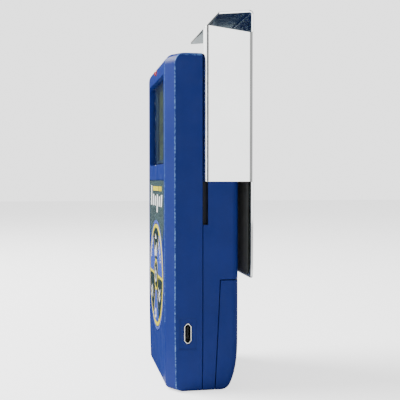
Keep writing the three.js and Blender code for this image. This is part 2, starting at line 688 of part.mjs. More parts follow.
function indicatorLamp() {
  const profile = [new THREE.Vector2(0, 0), new THREE.Vector2(LAMP_R, 0)];
  const length = WALL + LAMP_LEN;
  const steps = 5;
  for (let i = 0; i <= steps; i += 1) {
    const a = (i / steps) * Math.PI / 2;
    profile.push(new THREE.Vector2(LAMP_R * Math.cos(a), length + LAMP_R * Math.sin(a)));
  }
  profile[profile.length - 1].x = 0;
  const geometry = new THREE.LatheGeometry(profile, 16);
  geometry.rotateX(Math.PI);
  geometry.translate(0, depth(length + LAMP_R - LAMP_PROUD), LAMP_Z);
  part('indicator_lamp', solidOf(geometry), 'red');
}

function electronics() {
  const halfX = HALF_W - WALL - 1;
  const board = block(-halfX, halfX, depth(BOARD_D), depth(BOARD_BACK_D), BOARD_FOOT_Z, BOARD_TOP_Z);
  const bites = [];
  for (const side of [-1, 1]) {
    bites.push(rodY(side * SCREW_X, SCREW_ZS[0], BOSS_R + 2 * FIT, depth(0), depth(CASE_D), 16));
  }
  bites.push(block(usbBackX - FIT, X_ALL, depth(0), depth(CASE_D),
    USB_Z - USB_W / 2 - FIT, USB_Z + USB_W / 2 + FIT));
  part('main_board', cut(board, ...bites), 'board');
  const chipZ = (TRAY_TOP_Z + DET_Z - DET_R) / 2;
  const chip = ({ w, h, t, x }) => block(x - w / 2, x + w / 2, depth(BOARD_BACK_D + BOND),
    depth(BOARD_BACK_D + BOND + t), chipZ - h / 2, chipZ + h / 2);
  part('processor_chip', chip(PROCESSOR), 'chip');
  part('memory_chip', chip(MEMORY), 'chip');
  const coilZ = VIEW_FOOT_Z - COIL_DROP;
  const frontD = BOARD_D - BOND;
  const coil = block(COIL.x - COIL.w / 2, COIL.x + COIL.w / 2, depth(frontD - COIL.t), depth(frontD),
    coilZ - COIL.h / 2, coilZ + COIL.h / 2);
  part('high_voltage_coil', coil, 'chip');
  part('sounder', rodY(SOUNDER.x, coilZ, SOUNDER.r, depth(frontD - SOUNDER.t), depth(frontD), 24), 'chip');
}

function detector() {
  const gasketD = INNER_BACK_D - BOND - GASKET_T;
  const canBackD = gasketD - BOND;
  const canFrontD = canBackD - DET_T;
  const can = cut(
    rodY(0, DET_Z, DET_R, depth(canFrontD), depth(canBackD), 40),
    rodY(0, DET_Z, DET_VIEW_R + FIT, depth(canFrontD + DET_WALL), depth(canBackD + MARGIN), 40),
  );
  part('detector_can', can, 'nickel');
  const micaD = canBackD - MICA.sink - MICA.t;
  const window = rodY(0, DET_Z, DET_VIEW_R, depth(micaD), depth(micaD + MICA.t), 40);
  part('detector_window', window, 'mica');
  const anodeD = canFrontD + ANODE.rise;
  const anode = cut(
    rodY(0, DET_Z, ANODE.r, depth(anodeD), depth(anodeD + ANODE.t), 32),
    rodY(0, DET_Z, ANODE.r - ANODE.w, depth(0), depth(CASE_D), 32),
  );
  part('detector_anode', anode, 'nickel');
  const gasket = cut(
    rodY(0, DET_Z, DET_R - RUN, depth(gasketD), depth(gasketD + GASKET_T), 40),
    rodY(0, DET_Z, DET_VIEW_R + FIT, depth(gasketD - MARGIN), depth(CASE_D), 40),
  );
  part('detector_gasket', gasket, 'foam');

  const outline = new THREE.Shape();
  outline.absarc(0, DET_Z, SCREEN_R, 0, 2 * Math.PI);
  const rows = Math.floor(SCREEN_R / SCREEN_PITCH);
  for (let row = -rows; row <= rows; row += 1) {
    for (let col = -rows; col <= rows; col += 1) {
      const x = (col + row / 2) * SCREEN_PITCH;
      const z = row * SCREEN_PITCH * Math.sqrt(3) / 2;
      if (Math.hypot(x, z) + SCREEN_HOLE < SCREEN_R - SCREEN_RIM) {
        outline.holes.push(hexagon(x, DET_Z + z, SCREEN_HOLE));
      }
    }
  }
  const screenD = CASE_D - BOND - SCREEN_T;
  part('detector_screen', prismY(outline, depth(screenD), depth(screenD + SCREEN_T), 20), 'nickel');
}

function hexagon(x, z, radius) {
  const points = Array.from({ length: 6 }, (_, i) => {
    const a = (i + 0.5) * Math.PI / 3;
    return new THREE.Vector2(x + radius * Math.cos(a), z + radius * Math.sin(a));
  });
  return new THREE.Path(points.concat(points[0].clone()));
}

// ---- Batteries and contacts ---------------------------------------------------------------------

class SpringCurve extends THREE.Curve {
  constructor(x0, length, y, z, radius, turns) {
    super();
    Object.assign(this, { x0, length, y, z, radius, turns });
  }

  getPoint(t) {
    const a = t * this.turns * 2 * Math.PI;
    const r = this.radius * (1 - SPRING.taper * t);
    return new THREE.Vector3(this.x0 + t * this.length, this.y + r * Math.cos(a), this.z + r * Math.sin(a));
  }
}

function wireAlong(curve, radius, steps) {
  const ring = new THREE.Shape();
  const sides = 6;
  for (let i = 0; i < sides; i += 1) {
    const a = (i / sides) * 2 * Math.PI;
    const go = i === 0 ? 'moveTo' : 'lineTo';
    ring[go](radius * Math.cos(a), radius * Math.sin(a));
  }
  return solidOf(new THREE.ExtrudeGeometry(ring, { steps, extrudePath: curve, bevelEnabled: false }));
}

// The same span whichever end comes first.
const spanX = (x0, x1, make) => make(Math.min(x0, x1), Math.max(x0, x1));

// One cell with its spring at one end and its flat contact at the other; way is the nub's direction.
function batteryRow(name, z, way) {
  const y = depth(CELL_MID_D);
  const half = CELL_L / 2;
  const endX = half + CELL_END_ROOM - BOND;
  const tipX = way * half;
  const can = spanX(-tipX, tipX - way * CELL_NUB.len, (a, b) => rodX(y, z, CELL_R, a, b));
  const nub = spanX(tipX - way * 2 * CELL_NUB.len, tipX, (a, b) => rodX(y, z, CELL_NUB.r, a, b, 12));
  part(name, join(can, nub), 'wrap');

  const plate = (x0, x1) => spanX(x0, x1, (a, b) => block(a, b, y - CONTACT.half, y + CONTACT.half,
    z - CONTACT.half, z + CONTACT.half));
  const springX = -way * endX;
  const coilX = springX + way * (CONTACT.t - BOND);
  const reach = way * (CELL_END_ROOM - 2 * BOND - CONTACT.t - SPRING.wire);
  const coil = wireAlong(new SpringCurve(coilX, reach, y, z, SPRING.r, SPRING.turns), SPRING.wire, 36);
  part(`${name}_spring`, join(plate(springX, springX + way * CONTACT.t), coil), 'nickel');

  const flatX = way * endX;
  const button = spanX(flatX - way * CONTACT.t / 2, way * (half + BOND),
    (a, b) => rodX(y, z, CONTACT.button, a, b, 12));
  part(`${name}_contact`, join(plate(flatX, flatX - way * CONTACT.t), button), 'nickel');
}

function batteries() {
  batteryRow('battery_lower', CELL_LOW_Z, 1);
  batteryRow('battery_upper', CELL_LOW_Z + CELL_PITCH, -1);
}

// ---- Screws -------------------------------------------------------------------------------------

function caseScrews() {
  let number = 1;
  for (const z of SCREW_ZS) {
    for (const side of [-1, 1]) {
      const x = side * SCREW_X;
      const seatD = CASE_D - HEAD_SINK + BOND;
      const head = rodY(x, z, HEAD_R, depth(seatD), depth(seatD + HEAD_T), 12);
      const shank = rodY(x, z, SHANK_R, depth(seatD - SHANK_LEN), depth(seatD + HEAD_T / 2), 8);
      const drive = block(x - DRIVE.w / 2, x + DRIVE.w / 2, depth(seatD + HEAD_T - DRIVE.deep),
        depth(CASE_D), z - DRIVE.l / 2, z + DRIVE.l / 2);
      part(`case_screw_${number}`, cut(join(head, shank), drive), 'nickel');
      number += 1;
    }
  }
}

// ---- Sample holder ------------------------------------------------------------------------------

function sampleHolder() {
  const footZ = TAB_Z - HOLDER_BELOW_TAB;
  const tabBackZ = TAB_Z + TAB_RISE;
  const topZ = tabBackZ + SHEET;
  const r = HOLDER_CORNER_R;
  const plateShape = new THREE.Shape();
  plateShape.moveTo(-FLANGE_OUT_X + r, footZ);
  plateShape.lineTo(FLANGE_OUT_X - r, footZ);
  plateShape.absarc(FLANGE_OUT_X - r, footZ + r, r, -Math.PI / 2, 0);
  plateShape.lineTo(FLANGE_OUT_X, topZ);
  plateShape.lineTo(-FLANGE_OUT_X, topZ);
  plateShape.lineTo(-FLANGE_OUT_X, footZ + r);
  plateShape.absarc(-FLANGE_OUT_X + r, footZ + r, r, Math.PI, 1.5 * Math.PI);
  const plate = prismY(plateShape, depth(PLATE_D), depth(PLATE_D + SHEET), 5);

  const bendD = GROOVE_BACK_D - 4 * BOND;
  const lipTipD = bendD - LIP_REACH;
  const flange = prismX([
    [depth(bendD), FLANGE_FOOT_Z],
    [depth(PLATE_D + SHEET), FLANGE_FOOT_Z],
    [depth(PLATE_D + SHEET), FLANGE_TOP_Z - FLANGE_TOP_DROP],
    [depth(bendD), FLANGE_TOP_Z],
  ], FLANGE_IN_X, FLANGE_OUT_X);
  const along = new THREE.Vector2(-LIP_HOOK, -LIP_REACH).normalize();
  const back = new THREE.Vector2(along.y, -along.x).multiplyScalar(LIP_T);
  const tip = [FLANGE_OUT_X - LIP_HOOK, depth(lipTipD)];
  const lip = prismZ([
    [FLANGE_OUT_X, depth(bendD)],
    [FLANGE_OUT_X, depth(bendD + 2 * BEND_T)],
    [FLANGE_IN_X, depth(bendD + 2 * BEND_T)],
    [FLANGE_IN_X, depth(bendD + BEND_T)],
    [tip[0] + back.x, tip[1] + back.y],
    tip,
  ], FLANGE_FOOT_Z, FLANGE_TOP_Z - BOND);
  const tab = prismX([
    [depth(PLATE_D - TAB_REACH), TAB_Z],
    [depth(PLATE_D + SHEET / 2), tabBackZ],
    [depth(PLATE_D + SHEET / 2), topZ],
    [depth(PLATE_D - TAB_REACH), TAB_Z + SHEET],
  ], -FLANGE_OUT_X, FLANGE_OUT_X);
  part('holder_plate', join(plate, flange, lip, mirrorX(flange), mirrorX(lip), tab), 'steel');

  const linerTopZ = FLANGE_TOP_Z - LINER.drop;
  const linerFootZ = footZ + LINER.foot;
  const linerShape = roundedRect(2 * (FLANGE_IN_X - LINER.side), linerTopZ - linerFootZ,
    (linerTopZ + linerFootZ) / 2, LINER.r);
  const linerD = PLATE_D - BOND - LINER_T;
  part('holder_liner', prismY(linerShape, depth(linerD), depth(linerD + LINER_T), 4), 'liner');
}

// ---- Assembly -----------------------------------------------------------------------------------

part('front_case', frontCase(), 'caseBlue');
part('rear_case', rearCase(), 'caseBlue');
part('battery_door', batteryDoor(), 'caseBlue');
display();
faceLabel();
keypad();
indicatorLamp();
usbSocket();
electronics();
detector();
batteries();
caseScrews();
sampleHolder();

export default group;
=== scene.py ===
import json
from math import atan, cos, pi, radians, sin

import bmesh
import bpy
from bpy.props import FloatProperty, FloatVectorProperty, IntProperty, PointerProperty
from mathutils import Matrix, Vector


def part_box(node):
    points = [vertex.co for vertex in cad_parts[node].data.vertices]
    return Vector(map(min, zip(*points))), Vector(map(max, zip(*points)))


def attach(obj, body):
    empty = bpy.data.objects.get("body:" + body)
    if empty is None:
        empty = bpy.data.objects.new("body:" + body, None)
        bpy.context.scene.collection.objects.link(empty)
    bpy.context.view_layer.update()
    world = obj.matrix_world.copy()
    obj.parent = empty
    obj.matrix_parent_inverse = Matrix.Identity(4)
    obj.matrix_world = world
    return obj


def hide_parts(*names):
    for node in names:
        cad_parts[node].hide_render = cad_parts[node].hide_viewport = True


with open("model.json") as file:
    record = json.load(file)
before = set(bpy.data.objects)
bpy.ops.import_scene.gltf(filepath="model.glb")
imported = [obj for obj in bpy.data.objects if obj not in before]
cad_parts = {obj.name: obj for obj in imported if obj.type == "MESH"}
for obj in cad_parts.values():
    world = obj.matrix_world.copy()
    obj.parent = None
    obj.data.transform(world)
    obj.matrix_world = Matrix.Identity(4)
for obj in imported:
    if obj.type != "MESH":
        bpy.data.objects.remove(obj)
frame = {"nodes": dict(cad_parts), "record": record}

bl_info = {
    "name": "Pulse-rate meter",
    "version": (1, 0, 0),
    "blender": (4, 5, 0),
    "location": "3D View > Sidebar > Meter",
    "description": "Builds the visible pieces of a hand-held pulse-rate meter around its frame",
    "category": "Add Mesh",
}

MM = 0.001
WELD = 0.001 * MM               # vertices closer than this are one
FLAT = radians(0.4)             # faces that meet at less than this are one flat face
SHORT_EDGE = 0.8                # edges shorter than this share of a rounding's radius stay sharp
INK = 0.03 * MM                 # thickness of a printed layer
KEY_INK = 0.04 * MM             # thickness of the signs on the keys
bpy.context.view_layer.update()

# Places that several pieces share, from the frame.
CASE_LOW, CASE_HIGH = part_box("front_case")
REAR_LOW, REAR_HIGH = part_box("rear_case")
PLATE_LOW, PLATE_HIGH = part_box("holder_plate")
PAD_LOW, PAD_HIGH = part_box("keypad_ring")
LABEL_LOW, LABEL_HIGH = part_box("face_label")
PANE_LOW, PANE_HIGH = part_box("display_window")
GLASS_LOW, GLASS_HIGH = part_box("display_cell")
USB_LOW, USB_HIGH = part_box("usb_socket_shell")
PAD_MID = (PAD_LOW + PAD_HIGH) / 2
PAD_R = (PAD_HIGH.x - PAD_LOW.x) / 2


# ---- Settings -----------------------------------------------------------------------------------

def length(name, text, value, least=0.0):
    return FloatProperty(name=name, description=text, default=value, min=least, unit="LENGTH", precision=5)


def share(name, text, value):
    return FloatProperty(name=name, description=text, default=value, min=0.0, max=1.0, subtype="FACTOR")


def colour(name, text, value):
    return FloatVectorProperty(name=name, description=text, default=value, min=0.0, max=1.0, size=3,
                               subtype="COLOR")


class CaseSettings(bpy.types.PropertyGroup):
    edge: length("Edge radius", "Rounding of the moulded edges", 0.28 * MM)
    rim: length("Rim radius", "Rounding of the small openings", 0.12 * MM)
    blue: colour("Blue", "Colour of the moulded case", (0.005, 0.018, 0.15))
    worn: colour("Rubbed edge", "Colour where edges are rubbed", (0.13, 0.27, 0.58))
    roughness: share("Roughness", "Roughness of the moulded surface", 0.42)
    grip_ribs: IntProperty(name="Grip ribs", description="Ribs on the battery door", default=6, min=0)


class HolderSettings(bpy.types.PropertyGroup):
    sheet: length("Sheet", "Thickness of the steel sheet", 1.0 * MM)
    bend: length("Bend radius", "Outer radius of the long bends", 1.7 * MM)
    lip_bend: length("Lip bend radius", "Outer radius of the lip's bend", 1.2 * MM)
    edge: length("Edge radius", "Rounding of the cut edges", 0.14 * MM)
    steel: colour("Steel", "Colour of the polished steel", (0.83, 0.84, 0.835))


class DisplaySettings(bpy.types.PropertyGroup):
    border: length("Border", "Width of the border around the view", 2.2 * MM)
    digit_height: length("Digit height", "Height of the large digits", 13.0 * MM)
    olive: colour("Olive", "Colour of the reflective display", (0.1, 0.125, 0.02))
    slate: colour("Slate", "Colour of the border and its wall", (0.03, 0.06, 0.12))


class KeypadSettings(bpy.types.PropertyGroup):
    edge: length("Edge radius", "Rounding of the key edges", 0.3 * MM)
    crown: length("Crown", "How far a key's middle stands proud of its edge", 0.16 * MM)
    yellow: colour("Yellow", "Colour of the ring, hub and spokes", (0.66, 0.55, 0.008))
    blue: colour("Key blue", "Colour of the light keys", (0.03, 0.06, 0.33))
    dark: colour("Key dark", "Colour of the dark keys", (0.008, 0.022, 0.028))


class LabelSettings(bpy.types.PropertyGroup):
    teal: colour("Teal", "Colour of the printed label", (0.035, 0.075, 0.08))
    halo: colour("Halo", "Colour of the band around the keypad", (0.06, 0.09, 0.45))
    halo_width: length("Halo width", "Width of the band around the keypad", 2.4 * MM)


class StageSettings(bpy.types.PropertyGroup):
    camera: FloatVectorProperty(name="Camera", description="Place of the camera", size=3, unit="LENGTH",
                                default=(0.3431, -0.0593, 0.0874))
    turn: FloatProperty(name="Turn", description="Camera's turn from the front towards the right side",
                        default=radians(79.8), subtype="ANGLE")
    tilt: FloatProperty(name="Tilt", description="Camera's tilt below the horizon", default=radians(1.43),
                        subtype="ANGLE")
    lens: FloatProperty(name="Lens", description="Focal length in millimetres", default=68.7, min=1.0)
    floor: colour("Floor", "Colour of the floor", (0.88, 0.88, 0.88))
    sky: FloatProperty(name="Sky", description="Strength of the even white surroundings", default=0.55,
                       min=0.0)
    floor_glow: FloatProperty(name="Floor glow", description="Extra brightness of the floor that is seen",
                              default=1.6, min=0.0)
    backdrop: FloatProperty(name="Backdrop", description="Brightness of the backdrop as the camera sees it",
                            default=2.4, min=0.0)
    key_light: FloatProperty(name="Key light", description="Power of the large soft light", default=30.0,
                             min=0.0, unit="POWER")


GROUPS = {
    "meter_case": CaseSettings,
    "meter_holder": HolderSettings,
    "meter_display": DisplaySettings,
    "meter_keypad": KeypadSettings,
    "meter_label": LabelSettings,
    "meter_stage": StageSettings,
}


# ---- Mesh help ----------------------------------------------------------------------------------

def cad_copy(node, cuts=()):
    """A merged copy of a node of the frame; its flat faces are made whole, up to (place, normal) cuts."""
    bm = bmesh.new()
    bm.from_mesh(frame["nodes"][node].data)
    bmesh.ops.remove_doubles(bm, verts=bm.verts, dist=WELD)
    for place, normal in cuts:
        whole = bm.verts[:] + bm.edges[:] + bm.faces[:]
        made = bmesh.ops.bisect_plane(bm, geom=whole, plane_co=place, plane_no=normal)
        for part in made["geom_cut"]:
            if isinstance(part, bmesh.types.BMEdge):
                part.seam = True
    bmesh.ops.dissolve_limit(bm, angle_limit=FLAT, verts=bm.verts, edges=bm.edges, delimit={"SEAM"})
    return bm


def face_layer(bm, name):
    return bm.faces.layers.float.get(name) or bm.faces.layers.float.new(name)


def middle(edge):
    return (edge.verts[0].co + edge.verts[1].co) / 2


def soften(bm, radius, where=None, segments=2, least=radians(30), worn=None):
    """Rounds the sharp edges that where() picks; new faces that worn() picks are marked as rubbed."""
    rubbed = face_layer(bm, "edge_wear")
    picked = []
    for e in bm.edges:
        if len(e.link_faces) != 2 or e.calc_face_angle(0.0) < least:
            continue
        if e.calc_length() < radius * SHORT_EDGE:
            continue
        if where is None or where(middle(e)):
            picked.append(e)
    made = bmesh.ops.bevel(bm, geom=picked, offset=radius, offset_type="OFFSET", segments=segments,
                           profile=0.5, affect="EDGES", clamp_overlap=False, material=-1)
    for f in made["faces"]:
        if worn is not None and worn(f.calc_center_median()):
            f[rubbed] = 1.0


def new_object(name, bm):
    mesh = bpy.data.meshes.new(name)
    bm.to_mesh(mesh)
    bm.free()
    made = bpy.data.objects.new(name, mesh)
    bpy.context.scene.collection.objects.link(made)
    return made


def finish_piece(name, bm, material, body, stands_for=(), smooth=radians(38), weighted=True):
    """Turns a bmesh into a named piece with its material, and hands it to the frame's body."""
    piece = new_object(name, bm)
    piece.data.shade_smooth()
    piece.data.set_sharp_from_angle(angle=smooth)
    piece.data.materials.append(material)
    if weighted:
        normals = piece.modifiers.new("weighted normals", "WEIGHTED_NORMAL")
        normals.keep_sharp = True
    if stands_for:
        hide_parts(*stands_for)
    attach(piece, body)
    return piece


def add_block(bm, low, high):
    """A box between two corners."""
    low, high = Vector(low), Vector(high)
    made = bmesh.ops.create_cube(bm, size=1.0)
    bmesh.ops.scale(bm, vec=high - low, verts=made["verts"])
    bmesh.ops.translate(bm, vec=(low + high) / 2, verts=made["verts"])


def add_print(bm, points, front, thickness=INK):
    """A thin printed shape: an outline in X and Z whose front is at Y front."""
    verts = [bm.verts.new((x, front + thickness, z)) for x, z in points]
    face = bm.faces.new(verts)
    face.normal_update()
    if face.normal.y < 0:
        face.normal_flip()
    made = bmesh.ops.extrude_face_region(bm, geom=[face])
    moved = [v for v in made["geom"] if isinstance(v, bmesh.types.BMVert)]
    bmesh.ops.translate(bm, vec=(0.0, -thickness, 0.0), verts=moved)


def add_bar(bm, left, right, foot, top, front, thickness=INK):
    """A printed rectangle whose front is at Y front."""
    add_print(bm, [(left, foot), (right, foot), (right, top), (left, top)], front, thickness)


def add_ring(bm, centre, outer, inner, front, thickness=INK, start=0.0, turn=2 * pi, steps=48):
    """A flat printed band that follows a circle, made by spinning its section about the Y axis."""
    x, z = centre
    a, c = cos(start), sin(start)
    corners = [(inner, front), (outer, front), (outer, front + thickness), (inner, front + thickness)]
    verts = [bm.verts.new((x + r * a, y, z + r * c)) for r, y in corners]
    face = bm.faces.new(verts)
    whole = turn >= 2 * pi - 1e-6
    bmesh.ops.spin(bm, geom=[face] + list(face.edges) + verts, cent=(x, 0, z), axis=(0, -1, 0), angle=turn,
                   steps=steps, use_merge=whole)
    if whole:
        bm.faces.remove(face)


def polar(centre, radius, degrees):
    return centre[0] + radius * cos(radians(degrees)), centre[1] + radius * sin(radians(degrees))


def on_pad(x, z):
    """A place in X and Z, given in millimetres from the keypad's middle."""
    return PAD_MID.x + x * MM, PAD_MID.z + z * MM


def tidy_normals(bm):
    bmesh.ops.remove_doubles(bm, verts=bm.verts, dist=WELD)
    bmesh.ops.recalc_face_normals(bm, faces=bm.faces)


# ---- Materials ----------------------------------------------------------------------------------

class Finish:
    """A material and the few kinds of node that the finishes are made of."""

    def __init__(self, name, base, roughness, metallic=0.0, **sockets):
        self.material = bpy.data.materials.new(name)
        self.material.use_nodes = True
        self.tree = self.material.node_tree
        self.shader = self.tree.nodes["Principled BSDF"]
        self.base = (*base, 1.0)
        self.set(self.shader, **{"Base Color": self.base, "Roughness": roughness, "Metallic": metallic})
        self.set(self.shader, **sockets)
        self.place = self.tree.nodes.new("ShaderNodeTexCoord").outputs["Object"]

    def set(self, node, **sockets):
        for key, value in sockets.items():
            node.inputs[key].default_value = value

    def node(self, kind, sockets=None, **options):
        node = self.tree.nodes.new(kind)
        for key, value in options.items():
            setattr(node, key, value)
        for key, value in (sockets or {}).items():
            if isinstance(value, bpy.types.NodeSocket):
                self.tree.links.new(value, node.inputs[key])
            else:
                node.inputs[key].default_value = value
        return node

    def feed(self, socket, value):
        self.tree.links.new(value, self.shader.inputs[socket])

    def stretched(self, stretch):
        return self.node("ShaderNodeMapping", {"Vector": self.place, "Scale": stretch}).outputs["Vector"]

    def noise(self, size, detail=3.0, rough=0.55, vector=None, distortion=0.0):
        """Cloudy variation whose features are about size across."""
        return self.node("ShaderNodeTexNoise", {
            "Vector": vector or self.place, "Scale": 1.0 / size, "Detail": detail, "Roughness": rough,
            "Distortion": distortion}).outputs["Fac"]

    def cells(self, size, feature="F1"):
        return self.node("ShaderNodeTexVoronoi", {"Vector": self.place, "Scale": 1.0 / size},
                         feature=feature).outputs["Distance"]

    def ramp(self, value, low, high, to_low=0.0, to_high=1.0):
        return self.node("ShaderNodeMapRange", {
            "Value": value, "From Min": low, "From Max": high, "To Min": to_low, "To Max": to_high,
        }).outputs["Result"]

    def times(self, a, b):
        return self.node("ShaderNodeMath", {0: a, 1: b}, operation="MULTIPLY").outputs[0]

    def mixed(self, factor, a, b):
        node = self.node("ShaderNodeMix", data_type="RGBA")
        for index, value in ((0, factor), (6, a), (7, b)):      # the colour mix's own sockets
            if isinstance(value, bpy.types.NodeSocket):
                self.tree.links.new(value, node.inputs[index])
            else:
                node.inputs[index].default_value = value
        return node.outputs[2]

    def mark(self, name):
        return self.node("ShaderNodeAttribute", attribute_name=name).outputs["Fac"]

    def bump(self, *layers):
        """Stacks (height, strength, depth) layers and feeds the shader's normal."""
        normal = None
        for height, strength, deep in layers:
            sockets = {"Height": height, "Strength": strength, "Distance": deep}
            if normal is not None:
                sockets["Normal"] = normal
            normal = self.node("ShaderNodeBump", sockets).outputs["Normal"]
        self.feed("Normal", normal)


def tinted(colour_value, factor):
    return tuple(min(1.0, c * factor) for c in colour_value[:3]) + (1.0,)


def moulded(name, base, roughness=0.42, worn=None, gloss_spread=0.1):
    """Moulded plastic: fine spark texture, cloudy gloss, a little shade variation, rubbed edges and painted
    near-black shade on faces marked as a recess.
    """
    f = Finish(name, base, roughness, **{"Specular IOR Level": 0.15})
    cloud = f.noise(22 * MM, 4.0, 0.6)
    shade = f.mixed(f.ramp(cloud, 0.3, 0.7), tinted(base, 0.9), tinted(base, 1.1))
    speck = f.ramp(f.noise(0.45 * MM, 2.0, 0.5), 0.58, 0.72)
    shade = f.mixed(f.times(speck, 0.16), shade, tinted(base, 1.7))
    if worn is not None:
        patchy = f.ramp(f.noise(1.1 * MM, 4.0, 0.7), 0.45, 0.6, 0.1, 0.9)
        shade = f.mixed(f.times(f.mark("edge_wear"), patchy), shade, (*worn, 1.0))
        # painted shade: faces marked as a recess (the case's side grooves) are painted near black
        shade = f.mixed(f.times(f.mark("painted_recess_shade"), 0.93), shade, (0.012, 0.014, 0.018, 1.0))
    f.feed("Base Color", shade)
    scuff = f.noise(9 * MM, 5.0, 0.65)
    f.feed("Roughness", f.ramp(scuff, 0.3, 0.7, roughness - gloss_spread, roughness + gloss_spread))
    f.bump((f.noise(0.22 * MM, 2.0, 0.5), 0.35, 0.02 * MM), (f.noise(5 * MM, 2.0, 0.5), 0.12, 0.05 * MM))
    return f.material


def printed_ink(name, base, roughness=0.35):
    """Screen-printed ink: slightly uneven cover and a faint orange-peel surface."""
    f = Finish(name, base, roughness)
    cover = f.ramp(f.noise(0.8 * MM, 3.0, 0.6), 0.35, 0.7)
    f.feed("Base Color", f.mixed(cover, tinted(base, 0.86), (*base, 1.0)))
    f.feed("Roughness", f.ramp(f.noise(3 * MM, 3.0), 0.3, 0.7, roughness - 0.08, roughness + 0.1))
    f.bump((f.noise(0.3 * MM, 2.0), 0.2, 0.008 * MM))
    return f.material


def polished_steel(name, base):
    """Mirror-polished sheet: faint polishing lines along the sheet and smears."""
    f = Finish(name, base, 0.06, metallic=1.0)
    smear = f.noise(14 * MM, 4.0, 0.6, distortion=0.8)
    f.feed("Base Color", f.mixed(f.ramp(smear, 0.35, 0.7), tinted(base, 0.97), tinted(base, 1.04)))
    lines = f.noise(0.5 * MM, 3.0, 0.6, vector=f.stretched((1.0, 1.0, 0.02)))
    haze = f.ramp(smear, 0.42, 0.75, 0.035, 0.12)
    f.feed("Roughness", f.node("ShaderNodeMath", {0: haze, 1: f.times(lines, 0.05)}).outputs[0])
    f.bump((lines, 0.05, 0.004 * MM), (f.noise(30 * MM, 1.0), 0.08, 0.12 * MM))
    return f.material


def plated(name, base, roughness=0.28, grain=(1.0, 1.0, 1.0)):
    """Plated or tinned metal with fine drawn grain and dull patches; faces marked as a recess get painted
    near-black shade.
    """
    f = Finish(name, base, roughness, metallic=1.0)
    dull = f.noise(3 * MM, 4.0, 0.65)
    shade = f.mixed(f.ramp(dull, 0.35, 0.7), tinted(base, 0.82), tinted(base, 1.05))
    # painted shade: faces marked as a recess (the socket shell's inside) are painted near black
    f.feed("Base Color", f.mixed(f.times(f.mark("painted_recess_shade"), 0.9), shade, (0.01, 0.01, 0.01, 1.0)))
    f.feed("Roughness", f.ramp(dull, 0.3, 0.7, roughness - 0.08, roughness + 0.14))
    f.bump((f.noise(0.12 * MM, 2.0, vector=f.stretched(grain)), 0.2, 0.006 * MM))
    return f.material


def dull_sheet(name, base, roughness=0.85, size=0.35 * MM):
    """Rubber or foam: fine pores and a soft sheen."""
    f = Finish(name, base, roughness, **{"Sheen Weight": 0.15, "Sheen Roughness": 0.6})
    pores = f.cells(size)
    f.feed("Base Color", f.mixed(f.ramp(pores, 0.0, 0.6), tinted(base, 0.7), tinted(base, 1.25)))
    f.feed("Roughness", f.ramp(f.noise(6 * MM), 0.3, 0.7, roughness - 0.12, roughness))
    f.bump((pores, 0.45, 0.03 * MM))
    return f.material


def glossy_label(name, base):
    """Printed polyester film: glossy, with a faint weave of the print and slow waves."""
    f = Finish(name, base, 0.14, **{"Coat Weight": 0.5, "Coat Roughness": 0.06})
    cloud = f.noise(16 * MM, 3.0)
    shade = f.mixed(f.ramp(cloud, 0.3, 0.7), tinted(base, 0.88), tinted(base, 1.12))
    weave = f.times(f.ramp(f.cells(0.25 * MM), 0.1, 0.5), 0.12)
    f.feed("Base Color", f.mixed(weave, shade, tinted(base, 0.6)))
    f.feed("Roughness", f.ramp(f.noise(5 * MM, 4.0), 0.3, 0.7, 0.1, 0.24))
    f.bump((f.noise(12 * MM, 1.0), 0.15, 0.06 * MM), (f.noise(0.4 * MM), 0.08, 0.006 * MM))
    return f.material


def display_face(name, base):
    """Reflective display: olive polariser with a fine grain, slow colour drift and a gloss coat."""
    f = Finish(name, base, 0.4, **{"Coat Weight": 0.15, "Coat Roughness": 0.2})
    drift = f.noise(18 * MM, 2.0)
    shade = f.mixed(f.ramp(drift, 0.35, 0.68), tinted(base, 0.8), (0.12, 0.15, 0.06, 1.0))
    grain = f.noise(0.3 * MM, 2.0)
    f.feed("Base Color", f.mixed(f.times(f.ramp(grain, 0.4, 0.6), 0.12), shade, tinted(base, 0.6)))
    f.feed("Roughness", f.ramp(f.noise(7 * MM, 3.0), 0.3, 0.7, 0.34, 0.5))
    f.bump((grain, 0.05, 0.002 * MM))
    return f.material


def clear_pane(name, tint):
    """Clear acrylic: mostly seen through, with a gloss that grows towards the edge of sight."""
    f = Finish(name, tint, 0.04, metallic=1.0)
    smear = f.noise(11 * MM, 4.0, 0.6, distortion=0.5)
    f.feed("Roughness", f.ramp(smear, 0.4, 0.75, 0.03, 0.14))
    f.feed("Base Color", f.mixed(f.ramp(smear, 0.3, 0.8), tinted(tint, 0.9), (*tint, 1.0)))
    f.bump((f.noise(25 * MM, 0.0), 0.02, 0.02 * MM))
    clear = f.node("ShaderNodeBsdfTransparent", {"Color": (0.86, 0.9, 0.9, 1.0)})
    gloss = f.node("ShaderNodeFresnel", {"IOR": 1.49}).outputs[0]
    mix = f.node("ShaderNodeMixShader", {"Fac": f.ramp(gloss, 0.0, 1.0, 0.0, 0.4)})
    output = f.tree.nodes["Material Output"]
    f.tree.links.new(clear.outputs[0], mix.inputs[1])
    f.tree.links.new(f.shader.outputs[0], mix.inputs[2])
    f.tree.links.new(mix.outputs[0], output.inputs["Surface"])
    return f.material


def lamp_epoxy(name):
    """Red clear epoxy: cloudy colour and a gloss coat."""
    f = Finish(name, (0.5, 0.012, 0.01), 0.12, **{"Transmission Weight": 0.35, "IOR": 1.52,
                                                  "Coat Weight": 0.6, "Coat Roughness": 0.05})
    cloud = f.ramp(f.noise(1.2 * MM), 0.3, 0.7)
    f.feed("Base Color", f.mixed(cloud, (0.36, 0.008, 0.008, 1), (0.66, 0.03, 0.02, 1)))
    f.feed("Roughness", f.ramp(f.noise(0.6 * MM), 0.3, 0.7, 0.08, 0.2))
    f.bump((f.noise(0.5 * MM), 0.1, 0.01 * MM))
    return f.material


